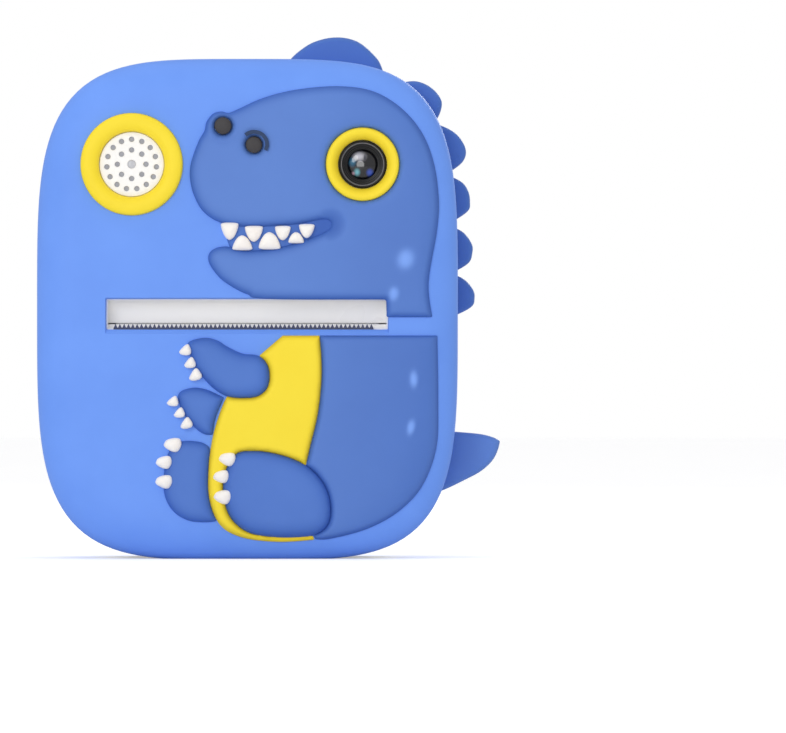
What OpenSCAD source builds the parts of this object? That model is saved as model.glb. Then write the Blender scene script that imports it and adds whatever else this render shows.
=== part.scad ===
// Kids instant-print camera: a white plastic camera with a thermal printer inside,
// in a one-piece silicone jacket that carries a dinosaur in relief.
// Millimetres. +Z is up, the front faces -Y, and the origin is the centre of the flat base.

/* [Body] */
// Width of the rounded-square body, without the spikes and the tail
body_w = 91.4; // [91:0.1:92]
// Height of the body, without the crest
body_h = 108.5; // [108:0.1:109]
// Depth from the front of the jacket to its rear lip
body_d = 44; // [43.8:0.1:44.4]
// Squareness of the outline: 2 is an ellipse, larger is squarer
squareness = 4; // [3.9:0.05:4.2]
// Wall of the silicone jacket
jacket_t = 2; // [1.9:0.05:2.05]
// Wall of the moulded case
case_t = 1.8; // [1.7:0.05:1.9]
// Gap between the jacket and the case
jacket_gap = 0.1; // [0.05:0.01:0.12]
// Facets round the outline
outline_n = 64; // [48:4:96]

/* [Dinosaur relief] */
// Height of the head and body relief above the jacket
relief_h = 1.3; // [1:0.1:1.6]
// Height of the near arm and the near leg
limb_h = 1.8; // [1.5:0.1:2]
// Height of the teeth and claws
claw_h = 2.3; // [2:0.1:2.5]
// Depth of the spikes and the crest, front to back
spike_d = 12; // [8:0.5:16]

/* [Paper slot and cutter] */
// Width of the paper slot
slot_w = 60.4; // [60:0.1:61]
// Lower edge of the slot
slot_z0 = 50; // [49.9:0.1:50.2]
// Upper edge of the slot
slot_z1 = 56; // [55.5:0.1:56.5]
// Distance from tooth to tooth of the cutter
tooth_pitch = 0.94; // [0.8:0.01:1.2]
// Number of cutter teeth
tooth_count = 60; // [40:1:60]

/* [Speaker and lenses] */
// Middle of the speaker and of the front lens, from the centre line
face_x = 25; // [24.5:0.1:25.5]
// Height of the speaker and of the front lens
face_z = 85.5; // [85:0.1:86]
// Outer radius of the speaker ring
speaker_ring_r = 11.1; // [10.8:0.1:11.4]
// Outer radius of the eye ring round the front lens
eye_ring_r = 7.95; // [7.7:0.05:8.2]
// Height of the rear lens
rear_lens_z = 95; // [94.5:0.1:95.5]

/* [Screen] */
// Width of the screen window
window_w = 66.4; // [65:0.1:68]
// Height of the screen window
window_h = 46.5; // [45:0.1:47]
// Middle of the screen window
window_z = 62.75; // [62:0.05:63]
// Width of the picture
picture_w = 48.6; // [46:0.1:50]
// Height of the picture
picture_h = 33.2; // [32:0.1:35]

/* [Keys] */
// Height of the row of keys
keys_z = 22.1; // [21.8:0.1:22.4]
// Middle of the direction pad
pad_x = 21.7; // [21.4:0.1:22]
// Travel of a key
key_travel = 0.6; // [0.4:0.05:0.6]
// Gap round a key
key_gap = 0.3; // [0.25:0.01:0.35]

/* [Printer] */
// Width of the paper
paper_w = 57; // [56.5:0.1:57.2]
// Radius of the paper roll
roll_r = 12.5; // [11:0.1:12.6]
// Radius of the platen roller
platen_r = 4; // [3.9:0.05:4.05]
// Gear tooth size (module)
gear_m = 0.5; // [0.5:0.05:0.5]
// Teeth of the motor pinion and of the small idler wheel
pinion_n = 12; // [12:1:12]
// Teeth of the large idler wheel
idler_n = 30; // [30:1:30]
// Teeth of the platen gear
platen_n = 18; // [18:1:18]
// Thickness of a gear
gear_t = 1.8; // [1.5:0.1:1.9]
// Backlash, measured along the pitch circle
backlash = 0.16; // [0.1:0.01:0.2]

/* [Paper door] */
// Half length of the door opening
door_x = 30.2; // [30:0.1:30.4]
// Front edge of the door opening
door_y0 = -13.4; // [-13.5:0.05:-13.3]
// Gap round the door
door_gap = 0.3; // [0.25:0.01:0.35]
// Radius of the door's hinge barrel
barrel_r = 1.2; // [1.1:0.05:1.25]

/* [Hidden] */
$fn = 64;
big = 300;

// Body planes, front to back
y_front = -body_d / 2;
y_back = body_d / 2;
y_case_front = y_front + jacket_t + jacket_gap;
y_in_front = y_case_front + case_t;
y_case_back = y_back - jacket_t - jacket_gap;
y_panel = y_back - 0.6;
y_panel_in = y_panel - case_t;
y_part = 16;
front_in = 9;
front_deep = 6;
rear_round = 5;
base_cut = 0.35;
half_w = body_w / 2;
half_h = (body_h + base_cut) / 2;
mid_z = (body_h - base_cut) / 2;
case_in = jacket_t + jacket_gap;
wall_in = case_in + case_t;

// Rear opening of the jacket: 6.2 mm in from the sides and the top, 7.6 mm from the bottom
panel_half_w = half_w - 6.2;
panel_z0 = 7.6;
panel_z1 = body_h - 6.2;
panel_gap = 0.15;

// Main board and what stands on it
board_t = 1.6;
y_board = 15.1;
board_a = 40.4;
board_b = 49;

// Ports on the left side, on the front of the main board
usb_y = 11.8;
usb_z = 71;
card_y = 12.5;
card_z = 56;
port_y = 11.9;
port_z0 = 51.5;
port_z1 = 74;
lcd_w = 56;
lcd_h = 41;
lcd_t = 2.4;

// Keys, front-frame X and Z
pad_r = 8.3;
menu_r = 3.86;
flip_r = 4.35;
shoot_r = 6.46;
back_r = 4.3;
menu_z = [27.8, 16.4];
flip_x = -13.4;
shoot_x = -26.1;
mic_x = -32.1;
mic_z = 34.3;
moat_w = 1;
moat_d = 0.5;
key_top = y_panel + 1.2;
key_flange = 0.7;
key_foot = y_board + 3.4;
switch_top = key_foot - key_travel - 0.1;

// Printer axes as [y, z]
roll_c = [-0.7, 17.6];
platen_c = [-12.5, 46];
motor_c = [3, 44];
plate_x0 = paper_w / 2 + 0.8;
plate_t = 1.6;
plate_x1 = plate_x0 + plate_t;
layer_a = plate_x1 + 0.5;
layer_b = layer_a + gear_t + 0.3;
hub_r = 5.92;
core_bore_r = 6;
shaft_r = 1.5;
shaft_gap = 0.05;
axle_r = 1;
motor_r = 6;
motor_l = 18;
motor_shaft_r = 0.75;
idler_c = meet(motor_c, platen_c, (pinion_n + idler_n) * gear_m / 2,
    (pinion_n + platen_n) * gear_m / 2);
to_idler = bearing(platen_c, idler_c);
to_motor = bearing(idler_c, motor_c);
paper_gap = 0.05;
paper_t = 0.12;

// Paper door hinge axis as [y, z]
hinge_c = [12.2, 1.45];
hinge_pin_r = 0.6;
door_t = 2.2;
frame_w = 2;
door_y1 = 14.1;
ear_x0 = 20;
ear_x1 = 23;

// Dinosaur outlines as [x, z]; a point given twice is a corner
head_pts = [[4.5, 56.3], [30.1, 56.2], [30.1, 56.2], [30.2, 52.4], [30.2, 52.4], [40.1, 52.4],
    [40.1, 52.4], [39.3, 60], [41.2, 71.5], [41.5, 78.5], [40.3, 86.4], [37.6, 92.8], [33, 98],
    [27, 101.4], [19.5, 102.4], [10.4, 101.6], [3.4, 99.8], [-2.4, 97.2], [-4.1, 96.6], [-5.5, 96.9],
    [-7.4, 96.4], [-8.8, 94.6], [-9.2, 92.8], [-10.6, 90.2], [-12.3, 85], [-11.9, 80], [-9.6, 75.4],
    [-5.6, 72.8], [-0.4, 72], [5, 72.1], [11.2, 72.6], [16.2, 73.6], [18.2, 73], [17.4, 71.1],
    [12, 68.9], [7.5, 67.6], [3.7, 67],
    [-0.4, 66.8], [-4.8, 67.7], [-7.8, 66.7], [-8.3, 64.4], [-6.2, 61.2], [-3.3, 59], [0, 57.4]];
body_pts = [[15, 48.4], [15, 48.4], [41.2, 48.4], [41.2, 48.4], [41.4, 34], [41, 24], [37.8, 15.6],
    [32.4, 10], [25.6, 6.4], [18, 4.4], [14.7, 4.3], [14.7, 4.3], [12, 20], [12, 20], [15, 31.2],
    [15.7, 38.3], [15.8, 43.7]];
belly_pts = [[4, 48.4], [4, 48.4], [15, 48.4], [15, 48.4], [15.8, 43.7], [15.7, 38.3], [14.9, 31.2],
    [12.9, 20.3], [14.7, 4.2], [14.7, 4.2], [7.9, 3.7], [1.7, 4.1], [-2.4, 5.1], [-5.3, 6.8],
    [-7.2, 9.7], [-8.3, 13.8], [-8.4, 18.8], [-7.8, 24.6], [-6.6, 29.6], [-4.5, 35], [0, 42]];
near_arm_pts = [[-12.8, 46.8], [-9.5, 47.9], [-6.6, 47.4], [-4.1, 45.9], [-1, 44.5], [2.5, 44],
    [4.6, 41.6], [4.6, 37.6], [2.6, 35.4], [-0.5, 34.9], [-4.1, 35.2], [-6.8, 36.6], [-9.2, 38.9],
    [-11.3, 41.6], [-12.3, 44.2]];
far_arm_pts = [[-14.9, 35.6], [-12.4, 37], [-9.1, 36.8], [-5, 35], [-5, 35], [-6.8, 30.6],
    [-7.5, 26.9], [-7.5, 26.9], [-9.6, 27.2], [-12, 29.2], [-14, 32]];
far_leg_pts = [[-14.3, 25.4], [-11.2, 25.5], [-8.9, 24.8], [-8, 23], [-8.3, 15.5], [-6.6, 8.2],
    [-6.6, 8.2], [-9.5, 8], [-12.8, 8.4], [-15.7, 10.1], [-17.5, 12.8], [-18.1, 16], [-17.8, 20],
    [-16.8, 23.4]];
near_leg_pts = [[-2.4, 22.7], [1.7, 23.4], [6.6, 22.7], [11.2, 21.1], [14.6, 18.8], [17.1, 15.4],
    [18.1, 11.4], [17.6, 7.6], [14.9, 5.3], [10, 4.7], [4.5, 4.9], [-0.2, 6], [-3.7, 9.2],
    [-5.1, 14], [-4.8, 18.6]];

// Teeth as [left x, right x, root z, tip z]; claws as [x, z, length, width, turn]
upper_teeth = [[-5.6, -1.9, 72.7, 69.1], [-0.4, 3.4, 71.9, 68.7], [6.1, 9.4, 72.1, 69],
    [11.3, 14.6, 72.5, 69.5]];
lower_teeth = [[-3.1, 1.1, 67.1, 70.1], [2.6, 7.2, 67.2, 70.8], [9, 12.3, 68.4, 70.8]];
arm_claws = [[-13.4, 45.3, 2.4, 2.5, 205], [-12.5, 42.5, 2.3, 2.4, 215], [-11.3, 39.9, 2.5, 2.5, 218],
    [-16.1, 34.3, 2.2, 2.5, 215], [-14.6, 31.7, 2.1, 2.4, 215], [-13.2, 29.5, 2.4, 2.4, 218]];
leg_claws = [[-16.2, 24.7, 3.9, 3, 188], [-18, 20.9, 3.5, 3, 190], [-18, 16.7, 3.7, 3.2, 185],
    [-4.3, 21.5, 3.7, 3.2, 200], [-5.7, 17.7, 3.4, 3.2, 195], [-5.3, 13.3, 3.8, 3.5, 185]];
nostril_pts = [[-5.2, 93.8, 1.9], [1.5, 89.7, 1.85]];

// Back spikes, crest and tail as [x, z]
spike_pts = [[[31.5, 101.5], [33.5, 102.9], [36.8, 103.2], [39.9, 101.8], [41.9, 99.4], [41.4, 96.8],
        [39.5, 94]],
    [[40, 94.6], [43.4, 93.7], [46, 91.8], [47.5, 88.9], [46.7, 86.3], [43, 83.8]],
    [[43, 83.6], [46.5, 82], [48, 80], [48.4, 77.6], [47.9, 75.6], [44, 73.2]],
    [[44, 72.4], [47, 70.9], [48.8, 68.4], [48.9, 66.4], [48, 64.2], [44, 62]],
    [[44, 62], [47, 60.8], [49, 58.6], [49.4, 56.6], [48.6, 54.6], [44, 52.4]]];
crest_pts = [[8, 106], [9.4, 108.9], [13, 111.8], [16.3, 113.1], [19.3, 113.5], [22, 113.2],
    [24.5, 112.2], [27, 110.1], [28.9, 107.6], [30, 103]];
tail_pts = [[42, 27.6], [47, 27.3], [51.5, 26.8], [54.6, 25.8], [55, 24.8], [53.6, 21.6], [51, 19],
    [47.4, 17], [42, 14.5]];

// Case screws under the rear lip of the jacket
screw_x = 34.6;
screw_dz = 42;
case_screw_r = 1;
y_screw_seat = y_case_back - 2.3;
board_screw_c = [[-34, 84], [34, 84], [-35.5, 40], [35.5, 40]];

// ---- Curves and shared shapes ----

// Point of a squircle with half axes a and b
function squircle(a, b, n = outline_n) = [for (i = [0 : n - 1])
    let (t = 360 * (i + 0.5) / n, c = cos(t), s = sin(t), e = 2 / squareness)
    [a * sign(c) * pow(abs(c), e), b * sign(s) * pow(abs(s), e)]];

// Smooth closed curve through the points; a doubled point gives a corner
function knot(p, i) = p[(i + len(p)) % len(p)];
function curve_pt(a, b, c, d, t) = 0.5 * ((2 * b) + (c - a) * t + (2 * a - 5 * b + 4 * c - d) * t * t
    + (3 * b - a - 3 * c + d) * t * t * t);
function smooth(p, steps = 3) = [for (i = [0 : len(p) - 1]) if (knot(p, i) != knot(p, i + 1))
    for (k = [0 : steps - 1])
        curve_pt(knot(p, i - 1), knot(p, i), knot(p, i + 1), knot(p, i + 2), k / steps)];

// Direction from one point to another, and the lower point at given distances from two points
function bearing(p, q) = atan2(q[1] - p[1], q[0] - p[0]);
function meet(p, q, rp, rq) = let (d = norm(q - p), a = (rp * rp - rq * rq + d * d) / (2 * d),
    h = sqrt(rp * rp - a * a), u = (q - p) / d) p + a * u + h * [-u[1], u[0]] * (u[0] < 0 ? 1 : -1);

// Rings of the rounded body: [inset, y] from front to back
function pod_rings(inset, y0, y1, cut = 4) = concat(
    [for (k = [0 : cut]) let (f = 90 * k / cut)
        [inset + (front_in - inset) * (1 - sin(f)), y0 + (front_deep - inset) * (1 - cos(f))]],
    [for (k = [cut - 1 : -1 : 0]) let (f = 90 * k / (cut - 1))
        [inset + (rear_round - inset) * (1 - sin(f)), y1 - (rear_round - inset) * (1 - cos(f))]]);

// Rounded body between two planes, drawn in by inset and cut flat at the base
module pod(inset, y0, y1) {
    rings = pod_rings(inset, y0, y1);
    n = outline_n;
    last = len(rings) - 1;
    points = [for (r = rings) for (p = squircle(half_w - r[0], half_h - r[0]))
        [p[0], r[1], mid_z + p[1]]];
    sides = [for (r = [0 : last - 1]) for (i = [0 : n - 1])
        let (j = (i + 1) % n, a = r * n, b = (r + 1) * n)
        each [[a + i, a + j, b + j], [a + i, b + j, b + i]]];
    caps = [[for (i = [n - 1 : -1 : 0]) i], [for (i = [0 : n - 1]) last * n + i]];
    intersection() {
        polyhedron(points, concat(sides, caps));
        translate([-big / 2, -big / 2, inset > 0 ? inset : 0]) cube(big);
    }
}

// Outline in x and z, drawn from y0 back to y1
module plate(y0, y1) {
    translate([0, y1, 0]) rotate([90, 0, 0]) linear_extrude(y1 - y0) children();
}

// Outline in y and z, drawn from x0 to x1
module slab(x0, x1) {
    translate([x0, 0, 0]) rotate([90, 0, 90]) linear_extrude(x1 - x0) children();
}

// Cylinder along y, at x and z, from y0 to y1
module post(x, z, r, y0, y1) {
    translate([x, y1, z]) rotate([90, 0, 0]) cylinder(r = r, h = y1 - y0);
}

// Cylinder along x, at [y, z], from x0 to x1
module rod(c, r, x0, x1) {
    translate([x0, c[0], c[1]]) rotate([0, 90, 0]) cylinder(r = r, h = x1 - x0);
}

// Shape turned about a y axis at x and z; the profile is [radius, forward distance from y]
module turned(x, z, y) {
    translate([x, y, z]) rotate([90, 0, 0]) rotate_extrude() children();
}

module rounded_rect(w, h, r) {
    square([w - 2 * r, h], center = true);
    square([w, h - 2 * r], center = true);
    for (x = [-1, 1], z = [-1, 1]) translate([x * (w / 2 - r), z * (h / 2 - r)]) circle(r);
}

module stadium(p, q, r) {
    translate(p) circle(r);
    translate(q) circle(r);
    translate((p + q) / 2) rotate(bearing(p, q)) square([norm(q - p), 2 * r], center = true);
}

// Relief that follows the front of the jacket, h high
module relief(h) {
    intersection() {
        difference() {
            pod(-h, y_front - h, y_back);
            pod(0, y_front, y_back);
        }
        plate(y_front - 5, -8) children();
    }
}

// ---- Dinosaur outlines ----

module tooth_2d(t) {
    w = t[1] - t[0];
    up = t[3] > t[2] ? 1 : -1;
    polygon(smooth([[t[0], t[2]], [t[0], t[2]], [t[0] + w * 0.12, t[2] + (t[3] - t[2]) * 0.5],
        [t[0] + w * 0.5, t[3]], [t[1] - w * 0.12, t[2] + (t[3] - t[2]) * 0.5], [t[1], t[2]],
        [t[1], t[2]], [t[0] + w * 0.5, t[2] - up * 0.3]]));
}

module claw_2d(c) {
    translate([c[0], c[1]]) rotate(c[4])
        polygon(smooth([[-c[2] * 0.5, -c[3] * 0.36], [-c[2] * 0.1, -c[3] * 0.5], [c[2] * 0.3, -c[3] * 0.26],
            [c[2] * 0.5, 0], [c[2] * 0.3, c[3] * 0.26], [-c[2] * 0.1, c[3] * 0.5],
            [-c[2] * 0.5, c[3] * 0.36]]));
}

module teeth_2d() {
    for (t = concat(upper_teeth, lower_teeth)) tooth_2d(t);
}

module claws_2d() {
    for (c = concat(arm_claws, leg_claws)) claw_2d(c);
}

module near_limbs_2d() {
    polygon(smooth(near_arm_pts));
    polygon(smooth(near_leg_pts));
}

module belly_2d() {
    difference() {
        polygon(smooth(belly_pts));
        near_limbs_2d();
        claws_2d();
    }
}

module panel_2d(g) {
    a = panel_half_w - g;
    b = (panel_z1 - panel_z0) / 2 - g;
    translate([0, (panel_z0 + panel_z1) / 2]) polygon(squircle(a, b));
}

module slot_2d(g = 0) {
    translate([-slot_w / 2 - g, slot_z0 - g]) square([slot_w + 2 * g, slot_z1 - slot_z0 + 2 * g]);
}

// ---- Jacket and dinosaur ----

// Window through the jacket over the card slot and the charging port
module port_window(x0, x1) {
    slab(x0, x1) stadium([port_y, port_z0], [port_y, port_z1], 3.6);
}

module jacket() {
    color("#6f9df7") difference() {
        pod(0, y_front, y_back);
        pod(jacket_t, y_front + jacket_t, y_back - jacket_t);
        plate(y_back - jacket_t - 1, y_back + 1) panel_2d(0);
        plate(y_front - 1, y_front + 4) slot_2d(0.3);
        post(-face_x, face_z, speaker_ring_r + 0.1, y_front - 1, y_front + 4);
        post(face_x, face_z, eye_ring_r + 0.1, y_front - 1, y_front + 4);
        port_window(-half_w - 1, -half_w + 6);
        translate([-door_x - frame_w - 0.2, door_y0 - frame_w - 0.2, -1])
            cube([2 * (door_x + frame_w + 0.2), y_part + 0.4 - door_y0 + frame_w, 8]);
    }
}

module dino_head() {
    color("#5f87d3") relief(relief_h) difference() {
        polygon(smooth(head_pts));
        teeth_2d();
        for (n = nostril_pts) translate([n[0], n[1]]) circle(n[2]);
        translate([face_x, face_z]) circle(eye_ring_r + 0.08);
    }
}

module dino_body() {
    color("#5f87d3") relief(relief_h) difference() {
        polygon(smooth(body_pts));
        polygon(smooth(belly_pts));
        near_limbs_2d();
    }
}

module belly() {
    color("#ffe733") relief(relief_h) belly_2d();
}

module near_arm() {
    color("#5f87d3") relief(limb_h) difference() {
        polygon(smooth(near_arm_pts));
        claws_2d();
    }
}

module far_arm() {
    color("#5f87d3") relief(relief_h) difference() {
        polygon(smooth(far_arm_pts));
        polygon(smooth(belly_pts));
        near_limbs_2d();
        claws_2d();
    }
}

module near_leg() {
    color("#5f87d3") relief(limb_h) difference() {
        polygon(smooth(near_leg_pts));
        claws_2d();
    }
}

module far_leg() {
    color("#5f87d3") relief(relief_h) difference() {
        polygon(smooth(far_leg_pts));
        polygon(smooth(belly_pts));
        claws_2d();
    }
}

module teeth() {
    color("#f5eee6") relief(claw_h) teeth_2d();
}

module claws() {
    color("#f5eee6") relief(claw_h) claws_2d();
}

module nostrils() {
    color("#504e50") for (n = nostril_pts) post(n[0], n[1], n[2], y_front - claw_h + 0.4, y_front);
}

module back_spikes() {
    color("#4b70c4") difference() {
        plate(-spike_d / 2, spike_d / 2) {
            for (s = spike_pts) polygon(s);
            polygon(crest_pts);
        }
        pod(0, y_front, y_back);
    }
}

module tail() {
    color("#5a80d0") difference() {
        plate(-4.5, 4.5) polygon(tail_pts);
        pod(0, y_front, y_back);
    }
}

// ---- Speaker and lens trims ----

module speaker_ring() {
    color("#ffe733") turned(-face_x, face_z, y_case_front - 0.02)
        polygon(concat([[7.05, 0], [speaker_ring_r, 0], [speaker_ring_r, 2.6]],
            [for (a = [15 : 15 : 165]) [9.1 + 2 * cos(a), 2.6 + 0.8 * sin(a)]], [[7.05, 2.2]]));
}

module speaker_grille() {
    rows = [[8, 3.1], [15, 5.4]];
    color("#f4f4f6") difference() {
        post(-face_x, face_z, 7, y_case_front - 1.6, y_case_front - 0.02);
        post(-face_x, face_z, 0.85, y_front - 1, y_front + 4);
        for (row = rows, k = [0 : row[0] - 1]) let (a = 90 + 360 * k / row[0])
            post(-face_x + row[1] * cos(a), face_z + row[1] * sin(a), 0.525, y_front - 1, y_front + 4);
    }
}

module eye_ring() {
    color("#ffe733") turned(face_x, face_z, y_case_front - 0.02)
        polygon(concat([[5.3, 0], [eye_ring_r, 0], [eye_ring_r, 2.9]],
            [for (a = [30 : 30 : 150]) [7.25 + 0.7 * cos(a), 2.9 + 0.5 * sin(a)]],
            [[6.3, 2.2], [5.3, 1.3]]));
}

module front_lens_barrel() {
    color("#202226") turned(face_x, face_z, y_case_front + 5)
        polygon([[3.2, 0], [5.2, 0], [5.2, 6.1], [4.7, 6.4], [4.5, 6], [3.2, 5.2]]);
}

module front_lens_glass() {
    color("#2b4f9a", 0.6) turned(face_x, face_z, y_case_front + 1)
        polygon(concat([[0, 0], [3.15, 0], [3.15, 0.7]],
            [for (a = [15 : 15 : 75]) [3.15 * cos(a), 0.7 + 0.7 * sin(a)]], [[0, 1.4]]));
}

module front_camera_module() {
    color("#2f6a45") {
        plate(y_case_front + 8.2, y_case_front + 9.4)
            translate([face_x, face_z]) square([16, 12], center = true);
        plate(y_case_front + 5.1, y_case_front + 8.2)
            translate([face_x, face_z]) square([8.5, 8.5], center = true);
    }
}

module rear_lens_barrel() {
    color("#17181a") turned_back(0, rear_lens_z, y_panel - 3.6)
        polygon([[2.6, 0], [3.7, 0], [3.7, 3.3], [3.4, 3.5], [3.1, 3.1], [2.6, 2.4]]);
}

module rear_lens_glass() {
    color("#20304a", 0.6) turned_back(0, rear_lens_z, y_panel - 2.6)
        polygon(concat([[0, 0], [2.55, 0], [2.55, 0.5]],
            [for (a = [15 : 15 : 75]) [2.55 * cos(a), 0.5 + 0.5 * sin(a)]], [[0, 1]]));
}

module rear_camera_module() {
    color("#1c1e22") plate(y_board + 0.02, y_panel - 3.65)
        translate([0, rear_lens_z]) square([8, 8], center = true);
}

module turned_back(x, z, y) {
    translate([x, y, z]) rotate([-90, 0, 0]) rotate_extrude() children();
}

// ---- Case ----

module case_solid(y0, y1) {
    intersection() {
        pod(case_in, y_case_front, y_case_back);
        translate([-big / 2, y0, -big / 2]) cube([big, y1 - y0, big]);
    }
}

// Strip of the base outline between two half widths, from the surface in to depth t
function base_z(x) = max(0, mid_z - half_h * pow(1 - pow(abs(x) / half_w, squareness), 1 / squareness));
module base_strip(half_x, y0, y1, z0, z1) {
    xs = [for (k = [-8 : 8]) half_x * k / 8];
    plate(y0, y1) polygon(concat([for (x = xs) [x, base_z(x) + z0]],
        [for (k = [8 : -1 : -8]) [half_x * k / 8, base_z(half_x * k / 8) + z1]]));
}

module case_bosses() {
    for (x = [-1, 1], z = [-1, 1]) post(x * screw_x, mid_z + z * screw_dz, 2.7, y_in_front - 1, y_part);
}

module front_case() {
    color("#f4f4f6") difference() {
        union() {
            difference() {
                case_solid(y_case_front - 1, y_part);
                pod(wall_in, y_in_front, y_case_back + 4);
            }
            intersection() {
                case_bosses();
                case_solid(y_case_front - 1, y_part);
            }
            plate(y_in_front - 0.5, y_in_front + 2.2) difference() {
                slot_2d(1);
                slot_2d();
            }
            plate(y_in_front + 2.1, y_in_front + 2.9) translate([-slot_w / 2 - 1, slot_z0 + 1.15])
                square([slot_w + 2, slot_z1 - slot_z0 - 0.15]);
            base_strip(door_x + frame_w, door_y0 - frame_w, y_part, 0, 3.9);
        }
        plate(y_case_front - 1, y_in_front + 2.1) slot_2d();
        post(-face_x, face_z, 6.6, y_case_front - 1, y_in_front + 1);
        post(face_x, face_z, 5.25, y_case_front - 1, y_in_front + 1);
        slab(-half_w, -half_w + 8) {
            stadium([usb_y, usb_z - 2.9], [usb_y, usb_z + 2.9], 1.7);
            translate([card_y, card_z]) square([1.5, 12], center = true);
        }
        for (x = [-1, 1], z = [-1, 1])
            post(x * screw_x, mid_z + z * screw_dz, case_screw_r + 0.02, 4, y_part + 1);
        translate([-door_x, door_y0, -1]) cube([2 * door_x, door_y1 - door_y0, 9]);
    }
    // Lip that guides the paper out, behind the cutter
    color("#f4f4f6") plate(y_in_front + 0.7, y_in_front + 1.5) translate([-slot_w / 2 - 0.5, slot_z0 - 0.5])
        square([slot_w + 1, 1.35]);
    // Ears for the door's hinge
    color("#f4f4f6") for (s = [0, 1]) mirror([s, 0, 0]) difference() {
        slab(ear_x0, ear_x1) {
            translate(hinge_c) circle(barrel_r);
            translate([hinge_c[0], hinge_c[1] - barrel_r]) square([door_y1 - hinge_c[0] + 0.2, 2 * barrel_r]);
        }
        rod(hinge_c, hinge_pin_r, ear_x0 - 1, ear_x1 + 1);
    }
}

module key_moats(y0, y1) {
    plate(y0, y1) {
        offset(r = moat_w) keys_2d();
        stadium([0, menu_z[0]], [0, menu_z[1]], menu_r + moat_w);
        stadium([shoot_x, keys_z], [flip_x, keys_z], 2);
    }
}

module rear_case() {
    color("#f4f4f6") difference() {
        union() {
            difference() {
                case_solid(y_part + 0.05, y_case_back + 1);
                pod(wall_in, y_in_front, y_panel_in);
            }
            plate(y_panel_in, y_panel) panel_2d(panel_gap);
            intersection() {
                for (x = [-1, 1], z = [-1, 1])
                    post(x * screw_x, mid_z + z * screw_dz, 2.7, y_part + 0.05, y_panel_in + 1);
                case_solid(y_part + 0.05, y_case_back + 1);
            }
        }
        plate(y_panel - 1.3, y_panel + 1) translate([0, window_z])
            rounded_rect(window_w, window_h, 11);
        plate(y_panel_in - 1, y_panel + 1) translate([0, window_z - 0.45])
            square([picture_w + 2, picture_h + 2], center = true);
        plate(y_panel_in - 3, y_panel + 1) offset(r = key_gap) keys_2d();
        key_moats(y_panel - moat_d, y_panel + 1);
        post(0, rear_lens_z, 3.75, y_panel_in - 3, y_panel + 1);
        turned_back(0, rear_lens_z, y_panel - 0.9) polygon([[0, 0], [3.7, 0], [4.7, 1], [0, 1]]);
        post(mic_x, mic_z, 0.65, y_panel_in - 3, y_panel + 1);
        for (x = [-1, 1], z = [-1, 1]) {
            post(x * screw_x, mid_z + z * screw_dz, case_screw_r + 0.15, y_part - 1, y_panel + 1);
            post(x * screw_x, mid_z + z * screw_dz, 2, y_screw_seat, y_case_back + 1);
        }
    }
}

module screen_window() {
    color("#3f3f41") plate(y_panel - 1.28, y_panel + 0.05) translate([0, window_z])
        rounded_rect(window_w - 0.2, window_h - 0.2, 10.9);
}

module lcd_panel() {
    color("#5b7fa8") plate(y_panel_in - 0.05 - lcd_t, y_panel_in - 0.05)
        translate([0, window_z - 0.45]) square([lcd_w, lcd_h], center = true);
}

// ---- Keys ----

// Half outline of one key of the direction pad: [outward, sideways] from the middle of the pad
pad_key_half = [[5.85, 1.8], [5.35, 3.7], [6.1, 5.1], [7.5, 5.8], [8.6, 5.1], [9.2, 3.4], [10.3, 1.8]];
module pad_key_2d() {
    n = len(pad_key_half) - 1;
    polygon(smooth(concat([[6.05, 0]], pad_key_half, [[10.9, 0]],
        [for (k = [n : -1 : 0]) [pad_key_half[k][0], -pad_key_half[k][1]]])));
}

// Every key outline, as seen on the panel
module keys_2d() {
    translate([pad_x, keys_z]) {
        for (k = [0 : 3]) rotate(90 * k) pad_key_2d();
        circle(back_r);
    }
    for (z = menu_z) translate([0, z]) circle(menu_r);
    translate([flip_x, keys_z]) circle(flip_r);
    translate([shoot_x, keys_z]) circle(shoot_r);
}

// Cap with a flange behind the panel and a foot over its switch
module key_cap(x, z) {
    plate(y_panel_in - key_flange, key_top) children(0);
    plate(y_panel_in - key_flange - 0.1, y_panel_in - 0.1) children(1);
    post(x, z, 1.2, key_foot, y_panel_in - 0.3);
}

module pad_key(turn) {
    x = pad_x + pad_r * cos(turn);
    z = keys_z + pad_r * sin(turn);
    color("#6596f0") key_cap(x, z) {
        translate([pad_x, keys_z]) rotate(turn) pad_key_2d();
        translate([x, z]) rotate(turn) square([4.4, 7.4], center = true);
    }
}

module round_key(x, z, r) {
    color("#6596f0") key_cap(x, z) {
        translate([x, z]) circle(r);
        translate([x, z]) circle(r + 0.1);
    }
}

module key_up() { pad_key(90); }
module key_down() { pad_key(270); }
module key_left() { pad_key(0); }
module key_right() { pad_key(180); }
module key_back() { round_key(pad_x, keys_z, back_r); }
module key_power() { round_key(0, menu_z[0], menu_r); }
module key_menu() { round_key(0, menu_z[1], menu_r); }
module key_flip() { round_key(flip_x, keys_z, flip_r); }
module key_shoot() { round_key(shoot_x, keys_z, shoot_r); }

function key_places() = concat([for (k = [0 : 3]) [pad_x + pad_r * cos(90 * k), keys_z + pad_r * sin(90 * k)]],
    [[pad_x, keys_z], [0, menu_z[0]], [0, menu_z[1]], [flip_x, keys_z], [shoot_x, keys_z]]);

module key_switches() {
    color("#2a2a2c") for (p = key_places()) {
        plate(y_board + 0.02, y_board + 1.6) translate(p) square([4, 4], center = true);
        post(p[0], p[1], 1, y_board + 1.5, switch_top);
    }
}

// ---- Board, power and sound ----

module main_board() {
    color("#1f6b45") difference() {
        plate(y_board - board_t, y_board) translate([0, mid_z]) polygon(squircle(board_a, board_b));
        for (p = board_screw_c) post(p[0], p[1], 1.1, y_board - 3, y_board + 1);
        for (x = [-1, 1], z = [-1, 1]) post(x * screw_x, mid_z + z * screw_dz, 3, y_board - 3, y_board + 1);
    }
}

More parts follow.
